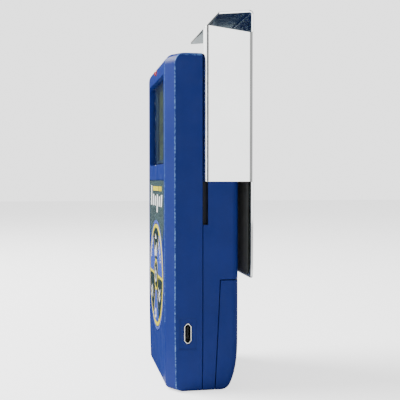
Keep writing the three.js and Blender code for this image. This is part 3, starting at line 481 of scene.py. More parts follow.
def circuit_board(name):
    """Solder mask with tracks that show as faint raised lines and lighter pads."""
    f = Finish(name, (0.015, 0.12, 0.05), 0.35)
    tracks = f.ramp(f.cells(2.6 * MM, feature="DISTANCE_TO_EDGE"), 0.02, 0.06, 1.0, 0.0)
    f.feed("Base Color", f.mixed(tracks, (0.012, 0.10, 0.045, 1), (0.03, 0.2, 0.08, 1)))
    f.feed("Roughness", f.ramp(f.noise(4 * MM), 0.3, 0.7, 0.28, 0.45))
    f.bump((tracks, 0.4, 0.03 * MM))
    return f.material


def cell_sleeve(name):
    """Battery sleeve: dark film with a lighter band and shrink ripples."""
    f = Finish(name, (0.03, 0.035, 0.045), 0.3, metallic=0.4)
    band = f.ramp(f.noise(9 * MM), 0.4, 0.6)
    f.feed("Base Color", f.mixed(band, (0.022, 0.026, 0.035, 1), (0.06, 0.068, 0.08, 1)))
    f.feed("Roughness", f.ramp(f.noise(2 * MM), 0.3, 0.7, 0.22, 0.42))
    f.bump((f.noise(0.8 * MM, vector=f.stretched((0.2, 1, 1))), 0.2, 0.02 * MM))
    return f.material


FINISHES = {}


def finish(name):
    """The material of that name, made once."""
    if name not in FINISHES:
        FINISHES[name] = MAKERS[name]()
    return FINISHES[name]


def settings(name):
    return getattr(bpy.context.scene, name)


MAKERS = {
    "case_plastic": lambda: moulded("case_plastic", tuple(settings("meter_case").blue),
                                    settings("meter_case").roughness, tuple(settings("meter_case").worn)),
    "window": lambda: clear_pane("window", (0.9, 0.93, 0.93)),
    "display": lambda: display_face("display", tuple(settings("meter_display").olive)),
    "diffuser": lambda: moulded("diffuser", (0.75, 0.75, 0.72), 0.5),
    "frame_plastic": lambda: moulded("frame_plastic", tuple(settings("meter_display").slate), 0.45),
    "label": lambda: glossy_label("label", tuple(settings("meter_label").teal)),
    "halo": lambda: printed_ink("halo_ink", tuple(settings("meter_label").halo), 0.3),
    "ring_print": lambda: printed_ink("yellow_ink", tuple(settings("meter_keypad").yellow), 0.35),
    "white_ink": lambda: printed_ink("white_ink", (0.82, 0.83, 0.82), 0.4),
    "segment_ink": lambda: printed_ink("segment_ink", (0.014, 0.018, 0.009), 0.4),
    "key_blue": lambda: moulded("key_blue", tuple(settings("meter_keypad").blue), 0.38, gloss_spread=0.08),
    "key_dark": lambda: moulded("key_dark", tuple(settings("meter_keypad").dark), 0.38, gloss_spread=0.08),
    "silicone": lambda: dull_sheet("silicone", (0.42, 0.43, 0.43), 0.7, 0.6 * MM),
    "lamp": lambda: lamp_epoxy("lamp"),
    "socket_steel": lambda: plated("socket_steel", (0.72, 0.72, 0.69), 0.22, (0.1, 1, 1)),
    "black_plastic": lambda: moulded("black_plastic", (0.012, 0.012, 0.013), 0.5),
    "board": lambda: circuit_board("board"),
    "nickel": lambda: plated("nickel", (0.62, 0.63, 0.64), 0.3),
    "gold": lambda: plated("gold_contacts", (0.83, 0.6, 0.24), 0.25),
    "mica": lambda: glossy_label("mica", (0.42, 0.36, 0.25)),
    "foam": lambda: dull_sheet("foam", (0.022, 0.022, 0.024), 0.95, 0.5 * MM),
    "cell_wrap": lambda: cell_sleeve("cell_wrap"),
    "holder_steel": lambda: polished_steel("holder_steel", tuple(settings("meter_holder").steel)),
    # painted reflection: the sheet's inner faces get a darker teal copy of the steel, standing for the dark
    # surroundings that the polished steel mirrors
    "holder_inside_painted_reflection": lambda: plated("holder_inside_painted_reflection", (0.34, 0.44, 0.47), 0.14, (1.0, 1.0, 0.05)),
    "liner": lambda: dull_sheet("liner", (0.016, 0.02, 0.018), 0.88),
}


# ---- Operators ----------------------------------------------------------------------------------

class METER_OT_case_shells(bpy.types.Operator):
    """Front and rear halves of the case, with rounded edges"""

    bl_idname = "meter.case_shells"
    bl_label = "Case shells"

    SKIN = 2.6 * MM                 # only edges this near the outside are rounded
    SOCKET_CLEAR = 3.0 * MM         # edges this near the socket stay as moulded
    HAND_BACK = 3.0 * MM            # a hand rubs the front edges, up to this far from the seam
    HAND_SIDE = 5.5 * MM            # and no further in than this from each side
    GROOVE_BAND = 2.4 * MM          # the side grooves lie within this distance behind the seam
    GROOVE_START = 15 * MM          # and start this far above the holder's foot

    def execute(self, context):
        case = context.scene.meter_case
        front = cad_copy("front_case")
        soften(front, case.edge, self.outside, worn=self.handled)
        finish_piece("front_shell", front, finish("case_plastic"), "case", ["front_case"])

        rear = cad_copy("rear_case")
        # Marks the side grooves' faces, which the case finish paints near black as painted shade.
        painted_recess_shade = face_layer(rear, "painted_recess_shade")
        for f in rear.faces:
            if self.in_groove(f.calc_center_median()):
                f[painted_recess_shade] = 1.0
        soften(rear, case.rim, self.outside)
        finish_piece("rear_shell", rear, finish("case_plastic"), "case", ["rear_case"])
        return {"FINISHED"}

    def outside(self, p):
        clear = self.SOCKET_CLEAR
        by_socket = (p.x > 0 and USB_LOW.y - clear < p.y < USB_HIGH.y + clear
                     and USB_LOW.z - clear < p.z < USB_HIGH.z + clear)
        outer = (abs(p.x) > CASE_HIGH.x - self.SKIN or p.z < self.SKIN or p.z > CASE_HIGH.z - self.SKIN
                 or p.y < CASE_LOW.y + self.SKIN or p.y > REAR_HIGH.y - self.SKIN)
        return outer and not by_socket

    def handled(self, p):
        return p.y < CASE_HIGH.y - self.HAND_BACK and abs(p.x) > CASE_HIGH.x - self.HAND_SIDE

    def in_groove(self, p):
        behind_seam = CASE_HIGH.y < p.y < CASE_HIGH.y + self.GROOVE_BAND
        sunk = CASE_HIGH.x - self.SKIN - 0.2 * MM < abs(p.x) < CASE_HIGH.x - 0.1 * MM
        return behind_seam and sunk and p.z > PLATE_LOW.z + self.GROOVE_START


class METER_OT_battery_door(bpy.types.Operator):
    """Battery door with a row of grip ribs"""

    bl_idname = "meter.battery_door"
    bl_label = "Battery door"

    SKIN = 2.6 * MM                 # only edges this near the foot and the back are rounded
    SIDE_SKIN = 3.0 * MM            # and this near a side
    RIB_WIDTH = 22 * MM
    RIB_HEIGHT = 0.9 * MM
    RIB_PITCH = 2.1 * MM
    RIB_PROUD = 0.45 * MM
    RIB_SINK = 0.3 * MM             # how far a rib's root goes into the door
    FIRST_RIB = 12 * MM             # from the door's top edge

    def execute(self, context):
        case = context.scene.meter_case
        low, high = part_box("battery_door")

        def outside(p):
            return p.y > low.y - MM and (abs(p.x) > high.x - self.SIDE_SKIN or p.y > high.y - self.SKIN
                                         or p.z < self.SKIN)

        door = cad_copy("battery_door")
        soften(door, case.edge, outside)
        finish_piece("battery_cover", door, finish("case_plastic"), "battery_door",
                     ["battery_door"])

        ribs = bmesh.new()
        for i in range(case.grip_ribs):
            z = high.z - self.FIRST_RIB - i * self.RIB_PITCH
            add_block(ribs, (-self.RIB_WIDTH / 2, high.y - self.RIB_SINK, z - self.RIB_HEIGHT),
                      (self.RIB_WIDTH / 2, high.y + self.RIB_PROUD, z))
        bmesh.ops.bevel(ribs, geom=ribs.edges[:], offset=0.28 * MM, segments=3, profile=0.5, affect="EDGES",
                        clamp_overlap=True, material=-1)
        finish_piece("cover_grip_ribs", ribs, finish("case_plastic"), "battery_door")
        return {"FINISHED"}


class METER_OT_sample_holder(bpy.types.Operator):
    """Polished steel holder, bent from one sheet, and the liner inside it"""

    bl_idname = "meter.sample_holder"
    bl_label = "Sample holder"

    CORNER = 4 * MM                 # radius of the back's two lower corners
    LIP_LEAN = radians(51.5)        # how far each lip turns in towards the case
    LIP_DROP = 1.3 * MM             # how far the lip's upper corner falls towards its tip
    TOP_ZONE = 4 * MM               # points this near the top belong to the tab
    BACK_ZONE = 5 * MM              # and points further down than this to the back
    FLANGE_ZONE = 12 * MM           # points this far in front of the back belong to a flange
    NEAR = 0.1 * MM

    def execute(self, context):
        holder = context.scene.meter_holder
        self.measure()
        bm = bmesh.new()
        grid = self.back(bm, holder.bend)
        self.tab(bm, grid, holder.bend)
        for side in (-1, 1):
            flange_y = self.flange(bm, grid, side, holder.bend)
            self.lip(bm, side, holder.lip_bend, flange_y)
        bmesh.ops.bevel(bm, geom=[grid[0][0], grid[0][3]], offset=self.CORNER, segments=6, profile=0.5,
                        affect="VERTICES", material=-1)
        tidy_normals(bm)
        middle_of_back = Vector((0, PLATE_HIGH.y, 0.1))
        back_face = min(bm.faces, key=lambda f: (f.calc_center_median() - middle_of_back).length)
        if back_face.normal.y < 0:
            bmesh.ops.reverse_faces(bm, faces=bm.faces)
        plate = finish_piece("holder_sheet", bm, finish("holder_steel"), "sample_holder",
                             ["holder_plate"], weighted=False)
        self.thicken(plate, holder)

        liner = cad_copy("holder_liner")
        soften(liner, 0.12 * MM)
        finish_piece("holder_pad", liner, finish("liner"), "sample_holder", ["holder_liner"])
        return {"FINISHED"}

    def measure(self):
        """Reads from the frame's plate where its flanges, back, tab and lips lie."""
        points = [v.co.copy() for v in frame["nodes"]["holder_plate"].data.vertices]
        x, y, top = PLATE_HIGH
        at_side = [p for p in points if p.x > x - self.NEAR]
        flange = [p.z for p in at_side if p.y < y - self.FLANGE_ZONE and p.z < top - self.TOP_ZONE]
        self.flange_foot, self.flange_top = min(flange), max(flange)
        self.back_top = max(p.z for p in at_side if p.z < top - self.BACK_ZONE and p.y > y - 2 * self.NEAR)
        tab = [p for p in points if p.z > top - self.TOP_ZONE]
        self.tab_front = min(p.y for p in tab)
        self.tab_drop = top - max(p.z for p in tab if p.y < self.tab_front + self.NEAR)
        self.lip_width = x - min(p.x for p in points if p.y < PLATE_LOW.y + self.NEAR / 2 and p.x > 0)

    def back(self, bm, bend):
        """The flat back: three columns by three rows, less the two faces where the flanges turn."""
        x, y, top = PLATE_HIGH
        columns = [-x, -(x - bend), x - bend, x]
        rows = [PLATE_LOW.z, self.flange_foot, self.back_top, top - bend]
        grid = [[bm.verts.new((column, y, row)) for column in columns] for row in rows]
        for i in range(3):
            for j in range(3):
                if i != 1 or j == 1:
                    bm.faces.new((grid[i][j + 1], grid[i][j], grid[i + 1][j], grid[i + 1][j + 1]))
        return grid

    def tab(self, bm, grid, bend):
        """The tab: over the top and sloping down to the front."""
        y, top = PLATE_HIGH.y, PLATE_HIGH.z
        fall = self.tab_drop / (y - bend - self.tab_front)
        edges = [bm.edges.get((grid[3][j], grid[3][j + 1])) for j in range(3)]
        self.turned(bm, edges, (0, y - bend, top - bend), (1, 0, 0), pi / 2 + atan(fall), 8)
        end = self.open_edges(bm, lambda p: p.y < y - bend and p.z > top - bend)
        run = min(v.co.y for e in end for v in e.verts) - self.tab_front
        self.pulled(bm, end, (0, -run, -run * fall))

    def flange(self, bm, grid, side, bend):
        """The bend between the back and a side flange; returns the depth at which it ends."""
        x, y = PLATE_HIGH.x, PLATE_HIGH.y
        column = 1 if side < 0 else 2
        edge = bm.edges.get((grid[1][column], grid[2][column]))
        self.turned(bm, [edge], (side * (x - bend), y - bend, 0), (0, 0, -side), pi / 2, 6)
        return y - bend

    def lip(self, bm, side, bend, flange_y):
        """The flange's flat, and the lip that turns in from it to hook into the case's groove."""
        x = PLATE_HIGH.x
        lean = self.LIP_LEAN
        straight = (self.lip_width - bend * (1 - cos(lean))) / sin(lean)
        bend_y = PLATE_LOW.y + bend * sin(lean) + straight * cos(lean)
        tip_y = bend_y - bend * sin(lean)

        edges = self.edges_at(bm, side, flange_y, self.NEAR / 2)
        for v in self.upper(self.pulled(bm, edges, (0, bend_y - flange_y, 0))):
            v.co.z = self.flange_top
        edges = self.edges_at(bm, side, bend_y, self.NEAR / 2)
        self.turned(bm, edges, (side * (x - bend), bend_y, 0), (0, 0, -side), lean, 5)
        edges = self.edges_at(bm, side, tip_y, 3 * MM)
        for v in self.upper(self.pulled(bm, edges, (-side * straight * sin(lean), -straight * cos(lean), 0))):
            v.co.z -= self.LIP_DROP

    def upper(self, verts):
        return [v for v in verts if v.co.z > (self.flange_foot + self.flange_top) / 2]

    def edges_at(self, bm, side, y, reach):
        """Open edges at that depth, within reach of the plate's side."""
        return self.open_edges(bm, lambda p: side * p.x > PLATE_HIGH.x - reach and abs(p.y - y) < 0.01 * MM)

    @staticmethod
    def open_edges(bm, where):
        return [e for e in bm.edges if len(e.link_faces) == 1 and all(where(v.co) for v in e.verts)]

    @staticmethod
    def turned(bm, edges, centre, axis, angle, steps):
        verts = list({v for e in edges for v in e.verts})
        bmesh.ops.spin(bm, geom=list(edges) + verts, cent=centre, axis=axis, angle=angle, steps=steps)

    @staticmethod
    def pulled(bm, edges, by):
        made = bmesh.ops.extrude_edge_only(bm, edges=edges)
        verts = [v for v in made["geom"] if isinstance(v, bmesh.types.BMVert)]
        bmesh.ops.translate(bm, vec=by, verts=verts)
        return verts

    @staticmethod
    def thicken(plate, holder):
        """Gives the bent face its thickness inwards and rounds the cut edges."""
        # The inner faces take the second material, a darker teal steel that is a painted reflection.
        plate.data.materials.append(finish("holder_inside_painted_reflection"))
        wall = plate.modifiers.new("sheet", "SOLIDIFY")
        wall.material_offset = 1
        wall.thickness = holder.sheet
        wall.offset = -1.0
        wall.use_even_offset = True
        edge = plate.modifiers.new("cut edges", "BEVEL")
        edge.width = holder.edge
        edge.segments = 2
        edge.limit_method = "ANGLE"
        edge.angle_limit = radians(50)
        edge.use_clamp_overlap = True
        normals = plate.modifiers.new("weighted normals", "WEIGHTED_NORMAL")
        normals.keep_sharp = True


# Bars of a seven-bar digit: a top, b and c right, d foot, e and f left, g middle.
SEGMENTS = {"0": "abcdef", "1": "bc", "2": "abged"}


class METER_OT_display(bpy.types.Operator):
    """Clear pane, border, display glass and its digits"""

    bl_idname = "meter.display"
    bl_label = "Display"

    LEDGE = 0.85 * MM               # how far the border stays inside the pane's edge
    READING = "0012"
    RAISED = 2 * MM                 # how far the digits stand above the glass's middle
    TICKS = 25
    TICK_PITCH = 1.5 * MM
    TICK_DROP = 4.2 * MM            # from the digits' foot to the ticks' foot
    BAR = 0.11                      # a digit's bar, as a share of its height
    LEAN = 0.08                     # how far the digits lean, as a share of their height

    def execute(self, context):
        display = context.scene.meter_display
        pane = cad_copy("display_window")
        soften(pane, 0.12 * MM)
        finish_piece("display_pane", pane, finish("window"), "case", ["display_window"])

        glass = cad_copy("display_cell")
        soften(glass, 0.1 * MM)
        finish_piece("display_glass", glass, finish("display"), "case", ["display_cell"])

        self.add_border(display.border)
        self.add_digits(display.digit_height)
        return {"FINISHED"}

    def add_border(self, width):
        """A frame between the pane and the glass, whose inner edge slopes in towards the glass."""
        low = Vector((PANE_LOW.x + self.LEDGE, 0, PANE_LOW.z + self.LEDGE))
        high = Vector((PANE_HIGH.x - self.LEDGE, 0, PANE_HIGH.z - self.LEDGE))
        front, back = PANE_HIGH.y + 0.12 * MM, GLASS_LOW.y - 0.05 * MM
        bm = bmesh.new()
        made = bmesh.ops.create_grid(bm, x_segments=1, y_segments=1, size=0.5)
        bmesh.ops.rotate(bm, cent=(0, 0, 0), matrix=Matrix.Rotation(pi / 2, 3, "X"), verts=made["verts"])
        bmesh.ops.scale(bm, vec=(high.x - low.x, 1, high.z - low.z), verts=made["verts"])
        bmesh.ops.translate(bm, vec=((low.x + high.x) / 2, back, (low.z + high.z) / 2), verts=made["verts"])
        inset = bmesh.ops.inset_region(bm, faces=bm.faces[:], thickness=width, use_boundary=True)
        centre = [f for f in bm.faces if f not in inset["faces"]]
        bmesh.ops.delete(bm, geom=centre, context="FACES_ONLY")
        made = bmesh.ops.extrude_face_region(bm, geom=bm.faces[:])
        moved = [v for v in made["geom"] if isinstance(v, bmesh.types.BMVert)]
        bmesh.ops.translate(bm, vec=(0, front - back, 0), verts=moved)
        for v in moved:
            within_x = abs(v.co.x) < high.x - width / 2
            within_z = low.z + width / 2 < v.co.z < high.z - width / 2
            if within_x and within_z:
                v.co.y = back - 0.5 * MM
        tidy_normals(bm)
        soften(bm, 0.08 * MM)
        finish_piece("display_border", bm, finish("frame_plastic"), "case")

    def add_digits(self, height):
        bm = bmesh.new()
        y = GLASS_LOW.y - INK - 0.005 * MM
        width = height * 0.52
        pitch = width * 1.42
        foot = (GLASS_LOW.z + GLASS_HIGH.z) / 2 + self.RAISED - height / 2
        for i, digit in enumerate(self.READING):
            x = (i - (len(self.READING) - 1) / 2) * pitch - width / 2
            self.seven_bars(bm, x, foot, width, height, SEGMENTS[digit], y)
        dot = 0.9 * MM
        add_bar(bm, -0.2 * MM, dot, foot, foot + dot, y)
        for i in range(self.TICKS):
            x = (i - self.TICKS // 2) * self.TICK_PITCH
            tall = 2.4 * MM if i % 5 == 0 else 1.4 * MM
            add_bar(bm, x - 0.25 * MM, x + 0.25 * MM, foot - self.TICK_DROP, foot - self.TICK_DROP + tall, y)
        tidy_normals(bm)
        finish_piece("display_digits", bm, finish("segment_ink"), "case")

    def seven_bars(self, bm, x, z, w, h, lit, y):
        t = h * self.BAR
        gap, cut = t * 0.2, t * 0.75
        half = z + h / 2
        bars = {
            "a": (x, z + h - t, x + w, z + h), "d": (x, z, x + w, z + t),
            "g": (x, half - t / 2, x + w, half + t / 2),
            "f": (x, half, x + t, z + h), "b": (x + w - t, half, x + w, z + h),
            "e": (x, z, x + t, half), "c": (x + w - t, z, x + w, half),
        }
        for key in lit:
            x0, z0, x1, z1 = bars[key]
            mid_x, mid_z = (x0 + x1) / 2, (z0 + z1) / 2
            if key in "adg":
                outline = [(x0 + gap + cut, z0), (x1 - gap - cut, z0), (x1 - gap - cut / 3, mid_z),
                           (x1 - gap - cut, z1), (x0 + gap + cut, z1), (x0 + gap + cut / 3, mid_z)]
            else:
                outline = [(x0, z0 + gap + cut), (mid_x, z0 + gap + cut / 3), (x1, z0 + gap + cut),
                           (x1, z1 - gap - cut), (mid_x, z1 - gap - cut / 3), (x0, z1 - gap - cut)]
            add_print(bm, [(px + self.LEAN * (pz - z), pz) for px, pz in outline], y)


class METER_OT_face_label(bpy.types.Operator):
    """Glossy label with its halo and plain bars"""

    bl_idname = "meter.face_label"
    bl_label = "Face label"

    BAR_LINE = 11.4 * MM            # from the label's top down to the white bars' line
    BAR_WIDTH = 3.8 * MM
    BAR_PITCH = 7.3 * MM
    BAR_LEAN = 1.2 * MM
    WHITE_BARS = ((0.0, 9.2), (0.0, 5.2), (0.0, 4.4), (2.8, 5.2), (0.0, 4.4), (0.0, 5.2))    # below, above
    YELLOW_BARS = ((-12.5, 7.5), (9.0, 13.0), (14.5, 18.5))                                  # left, right
    YELLOW_TOP = 2.6 * MM           # from the label's top
    YELLOW_HEIGHT = 2.0 * MM

    def execute(self, context):
        label = context.scene.meter_label
        sheet = cad_copy("face_label")
        soften(sheet, 0.06 * MM)
        finish_piece("label_sheet", sheet, finish("label"), "case", ["face_label"])

        y = LABEL_LOW.y - 0.02 * MM
        halo = bmesh.new()
        inner = PAD_R + 0.35 * MM
        outer = min(inner + label.halo_width, PAD_MID.z - LABEL_LOW.z - 0.1 * MM)
        add_ring(halo, on_pad(0, 0), outer, inner, y, steps=72)
        tidy_normals(halo)
        finish_piece("label_halo", halo, finish("halo"), "case")

        white = bmesh.new()
        line = LABEL_HIGH.z - self.BAR_LINE
        wide, lean = self.BAR_WIDTH, self.BAR_LEAN
        for i, (below, above) in enumerate(self.WHITE_BARS):
            x = (i - (len(self.WHITE_BARS) - 1) / 2) * self.BAR_PITCH - (wide + lean) / 2
            low, high = line - below * MM, line + above * MM
            add_print(white, [(x, low), (x + wide, low), (x + wide + lean, high), (x + lean, high)], y)
        tidy_normals(white)
        finish_piece("label_white_bars", white, finish("white_ink"), "case")

        yellow = bmesh.new()
        top = LABEL_HIGH.z - self.YELLOW_TOP
        for left, right in self.YELLOW_BARS:
            add_bar(yellow, left * MM, right * MM, top - self.YELLOW_HEIGHT, top, y)
        tidy_normals(yellow)
        finish_piece("label_yellow_bars", yellow, finish("ring_print"), "case")
        return {"FINISHED"}


class METER_OT_keypad(bpy.types.Operator):
    """Yellow ring with hub and spokes, seven crowned keys and their signs"""

    bl_idname = "meter.keypad"
    bl_label = "Keypad"

    BLUE = ("upper_left", "upper_right", "bottom")
    DARK = ("top", "lower_left", "lower_right", "centre")
    CROWN_STEP = 0.8 * MM           # width of the slope round a key's crown
    DASHES = 9
    DASH_PITCH = 4                  # degrees

    def execute(self, context):
        pad = context.scene.meter_keypad
        ring = cad_copy("keypad_ring", [self.through(word) for word in ("upper_left", "top", "upper_right")])
        soften(ring, 0.18 * MM, lambda p: p.y < PAD_LOW.y + 0.5 * MM)
        finish_piece("pad_ring", ring, finish("ring_print"), "case", ["keypad_ring"])
        for word in self.BLUE + self.DARK:
            slot = "key_blue" if word in self.BLUE else "key_dark"
            front = self.crowned_key(word, pad, slot)
            signs = bmesh.new()
            self.add_sign(signs, word, front - 0.03 * MM)
            tidy_normals(signs)
            finish_piece(f"sign_{word}", signs, finish("white_ink"), f"key_{word}_cap")
        return {"FINISHED"}

    @staticmethod
    def through(word):
        """A cut across the pad through that key, so that no flat face of the ring has a hole in it."""
        low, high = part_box(f"key_{word}")
        way = (low + high) / 2 - PAD_MID
        return PAD_MID, Vector((way.z, 0, -way.x))

    def crowned_key(self, word, pad, slot):
        """A key whose face stands proud in its middle; returns the depth of that face."""
        node = f"key_{word}"
        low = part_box(node)[0]
        bm = cad_copy(node)
        face = max((f for f in bm.faces if f.normal.y < -0.9), key=lambda f: f.calc_area())
        bmesh.ops.inset_region(bm, faces=[face], thickness=self.CROWN_STEP, use_even_offset=True)
        bmesh.ops.translate(bm, vec=(0, -pad.crown, 0), verts=face.verts[:])
        soften(bm, pad.edge, lambda p: p.y < low.y + 0.1 * MM, segments=3)
        finish_piece(f"cap_{word}", bm, finish(slot), f"key_{word}_cap", [node])
        return low.y - pad.crown

    def add_sign(self, bm, word, y):
        if word == "top":
            self.bars_and_arrow(bm, y)
        elif word == "upper_left":
            self.dashes(bm, y, 124)
        elif word == "upper_right":
            self.dashes(bm, y, 24)
        elif word == "lower_left":
            self.chevrons(bm, y, -1)
        elif word == "lower_right":
            self.chevrons(bm, y, 1)
        elif word == "bottom":
            add_ring(bm, on_pad(0, -17.4), 2.2 * MM, 1.2 * MM, y, thickness=KEY_INK, steps=32)
        else:
            self.power_sign(bm, y)

    @staticmethod
    def bars_and_arrow(bm, y):
        """Four bars that grow to the right, and a triangle above them."""
        for i, tall in enumerate((2.4, 3.6, 4.8, 6.0)):
            left, foot = on_pad(-3.3 + i * 1.8, 8.7)
            add_bar(bm, left, left + 1.2 * MM, foot, foot + tall * MM, y, KEY_INK)
        add_print(bm, [on_pad(-2.2, 16.4), on_pad(2.2, 16.4), on_pad(0, 18.6)], y, KEY_INK)

    def dashes(self, bm, y, first):
        """A scale of dashes along the key's outer edge; every other one is longer."""
        centre = on_pad(0, 0)
        outer, half = 19.2 * MM, 0.9
        for i in range(self.DASHES):
            a = first + i * self.DASH_PITCH
            inner = 17.2 * MM if i % 2 == 0 else 17.9 * MM
            points = [polar(centre, inner, a - half), polar(centre, outer, a - half),
                      polar(centre, outer, a + half), polar(centre, inner, a + half)]
            add_print(bm, points, y, KEY_INK)

    @staticmethod
    def chevrons(bm, y, side):
        """Two chevrons: pointing up on the left key and down on the right one."""
        x, z, up = side * 13.2, -8.2, -side
        for k in (0, 1):
            mid = z + up * (1.2 - 2.6 * k)
            low, lowest = mid - up * 1.2, mid - up * 2.4
            add_print(bm, [on_pad(x - 2.8, low), on_pad(x, mid + up * 1.2), on_pad(x + 2.8, low),
                           on_pad(x + 2.8, lowest), on_pad(x, mid), on_pad(x - 2.8, lowest)], y, KEY_INK)

    @staticmethod
    def power_sign(bm, y):
        """A ring that is open at its top, with an upright bar in the opening."""
        opening = 76
        add_ring(bm, on_pad(0, -0.3), 3.0 * MM, 2.1 * MM, y, thickness=KEY_INK,
                 start=radians(90 + opening / 2), turn=radians(360 - opening), steps=28)
        left, foot = on_pad(-0.45, 0.6)
        add_bar(bm, left, left + 0.9 * MM, foot, foot + 3.0 * MM, y, KEY_INK)


class METER_OT_lamp(bpy.types.Operator):
    """Red indicator lamp"""

    bl_idname = "meter.lamp"
    bl_label = "Indicator lamp"

    DOME_STEPS = 10

    def execute(self, context):
        low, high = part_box("indicator_lamp")
        radius = (high.x - low.x) / 2
        mid_x, mid_z = (low.x + high.x) / 2, (low.z + high.z) / 2
        dome_y = low.y + radius     # where the straight stem ends and the dome starts
        profile = [(0.0, high.y), (radius, high.y), (radius, dome_y)]
        for i in range(1, self.DOME_STEPS + 1):
            a = i / self.DOME_STEPS * pi / 2
            profile.append((radius * cos(a), dome_y - radius * sin(a)))
        bm = bmesh.new()
        verts = [bm.verts.new((mid_x + r, y, mid_z)) for r, y in profile]
        edges = [bm.edges.new(pair) for pair in zip(verts, verts[1:])]
        bmesh.ops.spin(bm, geom=verts + edges, cent=(mid_x, 0, mid_z), axis=(0, 1, 0), angle=2 * pi, steps=32,
                       use_merge=True)
        tidy_normals(bm)
        finish_piece("lamp_dome", bm, finish("lamp"), "case", ["indicator_lamp"])
        return {"FINISHED"}


class METER_OT_usb_socket(bpy.types.Operator):
    """Socket shell, its tongue and contacts"""

    bl_idname = "meter.usb_socket"
    bl_label = "USB socket"

    CONTACTS = 5
    CONTACT_HALF = 0.18 * MM        # half the width of a contact
    CONTACT_PROUD = 0.04 * MM

    def execute(self, context):
        shell = cad_copy("usb_socket_shell")
        # Marks the shell's inner faces, which the plated finish paints near black as painted shade.
        inside = face_layer(shell, "painted_recess_shade")
        mid = (USB_LOW + USB_HIGH) / 2
        for f in shell.faces:
            p = f.calc_center_median()
            if f.normal.dot(mid - p) > 0 and p.x < USB_HIGH.x - 0.1 * MM:
                f[inside] = 1.0
        soften(shell, 0.09 * MM, lambda p: p.x > USB_HIGH.x - 0.5 * MM)
        finish_piece("socket_shell", shell, finish("socket_steel"), "case",
                     ["usb_socket_shell"])

        low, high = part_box("usb_socket_tongue")
        tongue = cad_copy("usb_socket_tongue")
        soften(tongue, 0.1 * MM)
        finish_piece("socket_tongue", tongue, finish("black_plastic"), "case",
                     ["usb_socket_tongue"])

        strips = bmesh.new()
        pitch = (high.z - low.z) / (self.CONTACTS + 0.6)
        for i in range(self.CONTACTS):
            z = (low.z + high.z) / 2 + (i - (self.CONTACTS - 1) / 2) * pitch
            add_block(strips, (low.x + MM, low.y - self.CONTACT_PROUD, z - self.CONTACT_HALF),
                      (high.x - 0.25 * MM, low.y + 0.1 * MM, z + self.CONTACT_HALF))
        bmesh.ops.bevel(strips, geom=strips.edges[:], offset=0.03 * MM, segments=1, profile=0.5,
                        affect="EDGES", material=-1)
        finish_piece("socket_contacts", strips, finish("gold"), "case")
        return {"FINISHED"}


class METER_OT_inner_parts(bpy.types.Operator):
    """Finishes for the frame's own pieces: board, detector, cells, contacts, screws"""

    bl_idname = "meter.inner_parts"
    bl_label = "Inner parts"

    def execute(self, context):
        slots = {row["node"]: row["material_slot"] for row in frame["record"]["subparts"]}
        for name, node in frame["nodes"].items():
            if node.hide_render:
                continue
            node.data.materials.clear()
            node.data.materials.append(finish(slots[name]))
        return {"FINISHED"}


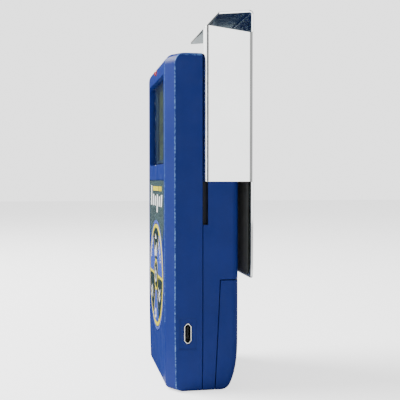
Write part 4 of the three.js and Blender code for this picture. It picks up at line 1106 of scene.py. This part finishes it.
class METER_OT_stage(bpy.types.Operator):
    """Floor, even white surroundings, soft lights and the camera"""

    bl_idname = "meter.stage"
    bl_label = "Stage"

    WHITE = (1.0, 1.0, 1.0)
    CARDS = (                       # name, place, facing, size, shade, glow
        ("dark_card_left", (-0.085, -0.13, 0.12), (1, 0, 0), (0.24, 0.28), (0.05, 0.07, 0.07), 0.07),
        ("dark_card_floor", (-0.09, -0.11, 0.0005), (0, 0, 1), (0.2, 0.26), (0.02, 0.03, 0.03), 0.0),
        ("white_card_front", (0.0, -0.5, 0.2), (0, 1, 0), (0.14, 0.32), WHITE, 2.4),
        ("dark_card_corner", (0.32, -0.32, 0.2), (-1, 1, 0), (0.2, 0.5), (0.02, 0.02, 0.022), 0.0),
        ("white_card_right", (1.3, 0.28, 0.28), (-1, 0, 0), (0.5, 0.7), WHITE, 2.0),
    )

    def execute(self, context):
        stage = context.scene.meter_stage
        self.add_floor(stage)
        self.add_surroundings(stage)
        self.add_soft_light("key_light", (-0.25, -0.65, 0.75), (0, 0, 0.08), 0.7, stage.key_light)
        for row in self.CARDS:
            self.add_card(*row)
        self.add_camera(stage)
        return {"FINISHED"}

    def add_floor(self, stage):
        bm = bmesh.new()
        bmesh.ops.create_grid(bm, x_segments=1, y_segments=1, size=3.0)
        floor = new_object("floor", bm)
        paper = Finish("floor_paper", tuple(stage.floor), 0.9)
        cloud = paper.ramp(paper.noise(0.4, 2.0), 0.3, 0.7)
        paper.feed("Base Color", paper.mixed(cloud, tinted(stage.floor, 0.985), tinted(stage.floor, 1.0)))
        seen = paper.tree.nodes.new("ShaderNodeLightPath").outputs["Is Camera Ray"]
        paper.set(paper.shader, **{"Emission Color": (*self.WHITE, 1.0)})
        paper.feed("Emission Strength", paper.times(seen, stage.floor_glow))
        floor.data.materials.append(paper.material)

    def add_surroundings(self, stage):
        """An even white world that is brighter where the camera sees it than where it lights the meter."""
        world = bpy.data.worlds.new("surroundings")
        bpy.context.scene.world = world
        world.use_nodes = True
        nodes, links = world.node_tree.nodes, world.node_tree.links
        light, backdrop = nodes["Background"], nodes.new("ShaderNodeBackground")
        for node, strength in ((light, stage.sky), (backdrop, stage.backdrop)):
            node.inputs["Color"].default_value = (*self.WHITE, 1.0)
            node.inputs["Strength"].default_value = strength
        path = nodes.new("ShaderNodeLightPath")
        mix = nodes.new("ShaderNodeMixShader")
        links.new(path.outputs["Is Camera Ray"], mix.inputs[0])
        links.new(light.outputs[0], mix.inputs[1])
        links.new(backdrop.outputs[0], mix.inputs[2])
        links.new(mix.outputs[0], nodes["World Output"].inputs["Surface"])

    def add_card(self, name, place, facing, size, shade, glow):
        """A card that only shows in polished surfaces."""
        bm = bmesh.new()
        made = bmesh.ops.create_grid(bm, x_segments=1, y_segments=1, size=0.5)
        bmesh.ops.scale(bm, vec=(size[0], size[1], 1.0), verts=made["verts"])
        turn = Vector(facing).to_track_quat("Z", "Y").to_matrix()
        bmesh.ops.rotate(bm, cent=(0, 0, 0), matrix=turn, verts=made["verts"])
        bmesh.ops.translate(bm, vec=place, verts=made["verts"])
        card = new_object(name, bm)
        look = Finish(name, shade, 0.9)
        look.feed("Base Color", look.mixed(look.noise(0.2), tinted(shade, 0.9), tinted(shade, 1.1)))
        look.set(look.shader, **{"Emission Color": (*self.WHITE, 1.0), "Emission Strength": glow})
        card.data.materials.append(look.material)
        card.visible_camera = False
        card.visible_diffuse = False
        card.visible_shadow = False
        card.visible_transmission = False

    @staticmethod
    def add_soft_light(name, place, aim, size, power):
        data = bpy.data.lights.new(name, "AREA")
        data.shape = "DISK"
        data.size = size
        data.energy = power
        light = bpy.data.objects.new(name, data)
        bpy.context.scene.collection.objects.link(light)
        light.location = place
        light.rotation_euler = (Vector(place) - Vector(aim)).to_track_quat("Z", "Y").to_euler()

    @staticmethod
    def add_camera(stage):
        camera = bpy.data.cameras.new("camera")
        camera.lens = stage.lens
        camera.clip_start = 0.01
        holder = bpy.data.objects.new("camera", camera)
        bpy.context.scene.collection.objects.link(holder)
        level = cos(stage.tilt)
        away = Vector((sin(stage.turn) * level, -cos(stage.turn) * level, sin(stage.tilt)))
        holder.location = stage.camera
        holder.rotation_euler = away.to_track_quat("Z", "Y").to_euler()
        bpy.context.scene.camera = holder


class METER_PT_pieces(bpy.types.Panel):
    """Lists the pieces of the meter"""

    bl_label = "Pulse-rate meter"
    bl_idname = "METER_PT_pieces"
    bl_space_type = "VIEW_3D"
    bl_region_type = "UI"
    bl_category = "Meter"

    def draw(self, context):
        for operator in OPERATORS:
            self.layout.operator(operator.bl_idname)


OPERATORS = (
    METER_OT_stage,
    METER_OT_case_shells,
    METER_OT_battery_door,
    METER_OT_sample_holder,
    METER_OT_display,
    METER_OT_face_label,
    METER_OT_keypad,
    METER_OT_lamp,
    METER_OT_usb_socket,
    METER_OT_inner_parts,
)
CLASSES = (*GROUPS.values(), *OPERATORS, METER_PT_pieces)


def register():
    for cls in CLASSES:
        bpy.utils.register_class(cls)
    for name, group in GROUPS.items():
        setattr(bpy.types.Scene, name, PointerProperty(type=group))


def unregister():
    for name in GROUPS:
        delattr(bpy.types.Scene, name)
    for cls in reversed(CLASSES):
        bpy.utils.unregister_class(cls)


def main():
    register()
    for operator in OPERATORS:
        group, name = operator.bl_idname.split(".")
        getattr(getattr(bpy.ops, group), name)()


if __name__ == "__main__":
    main()
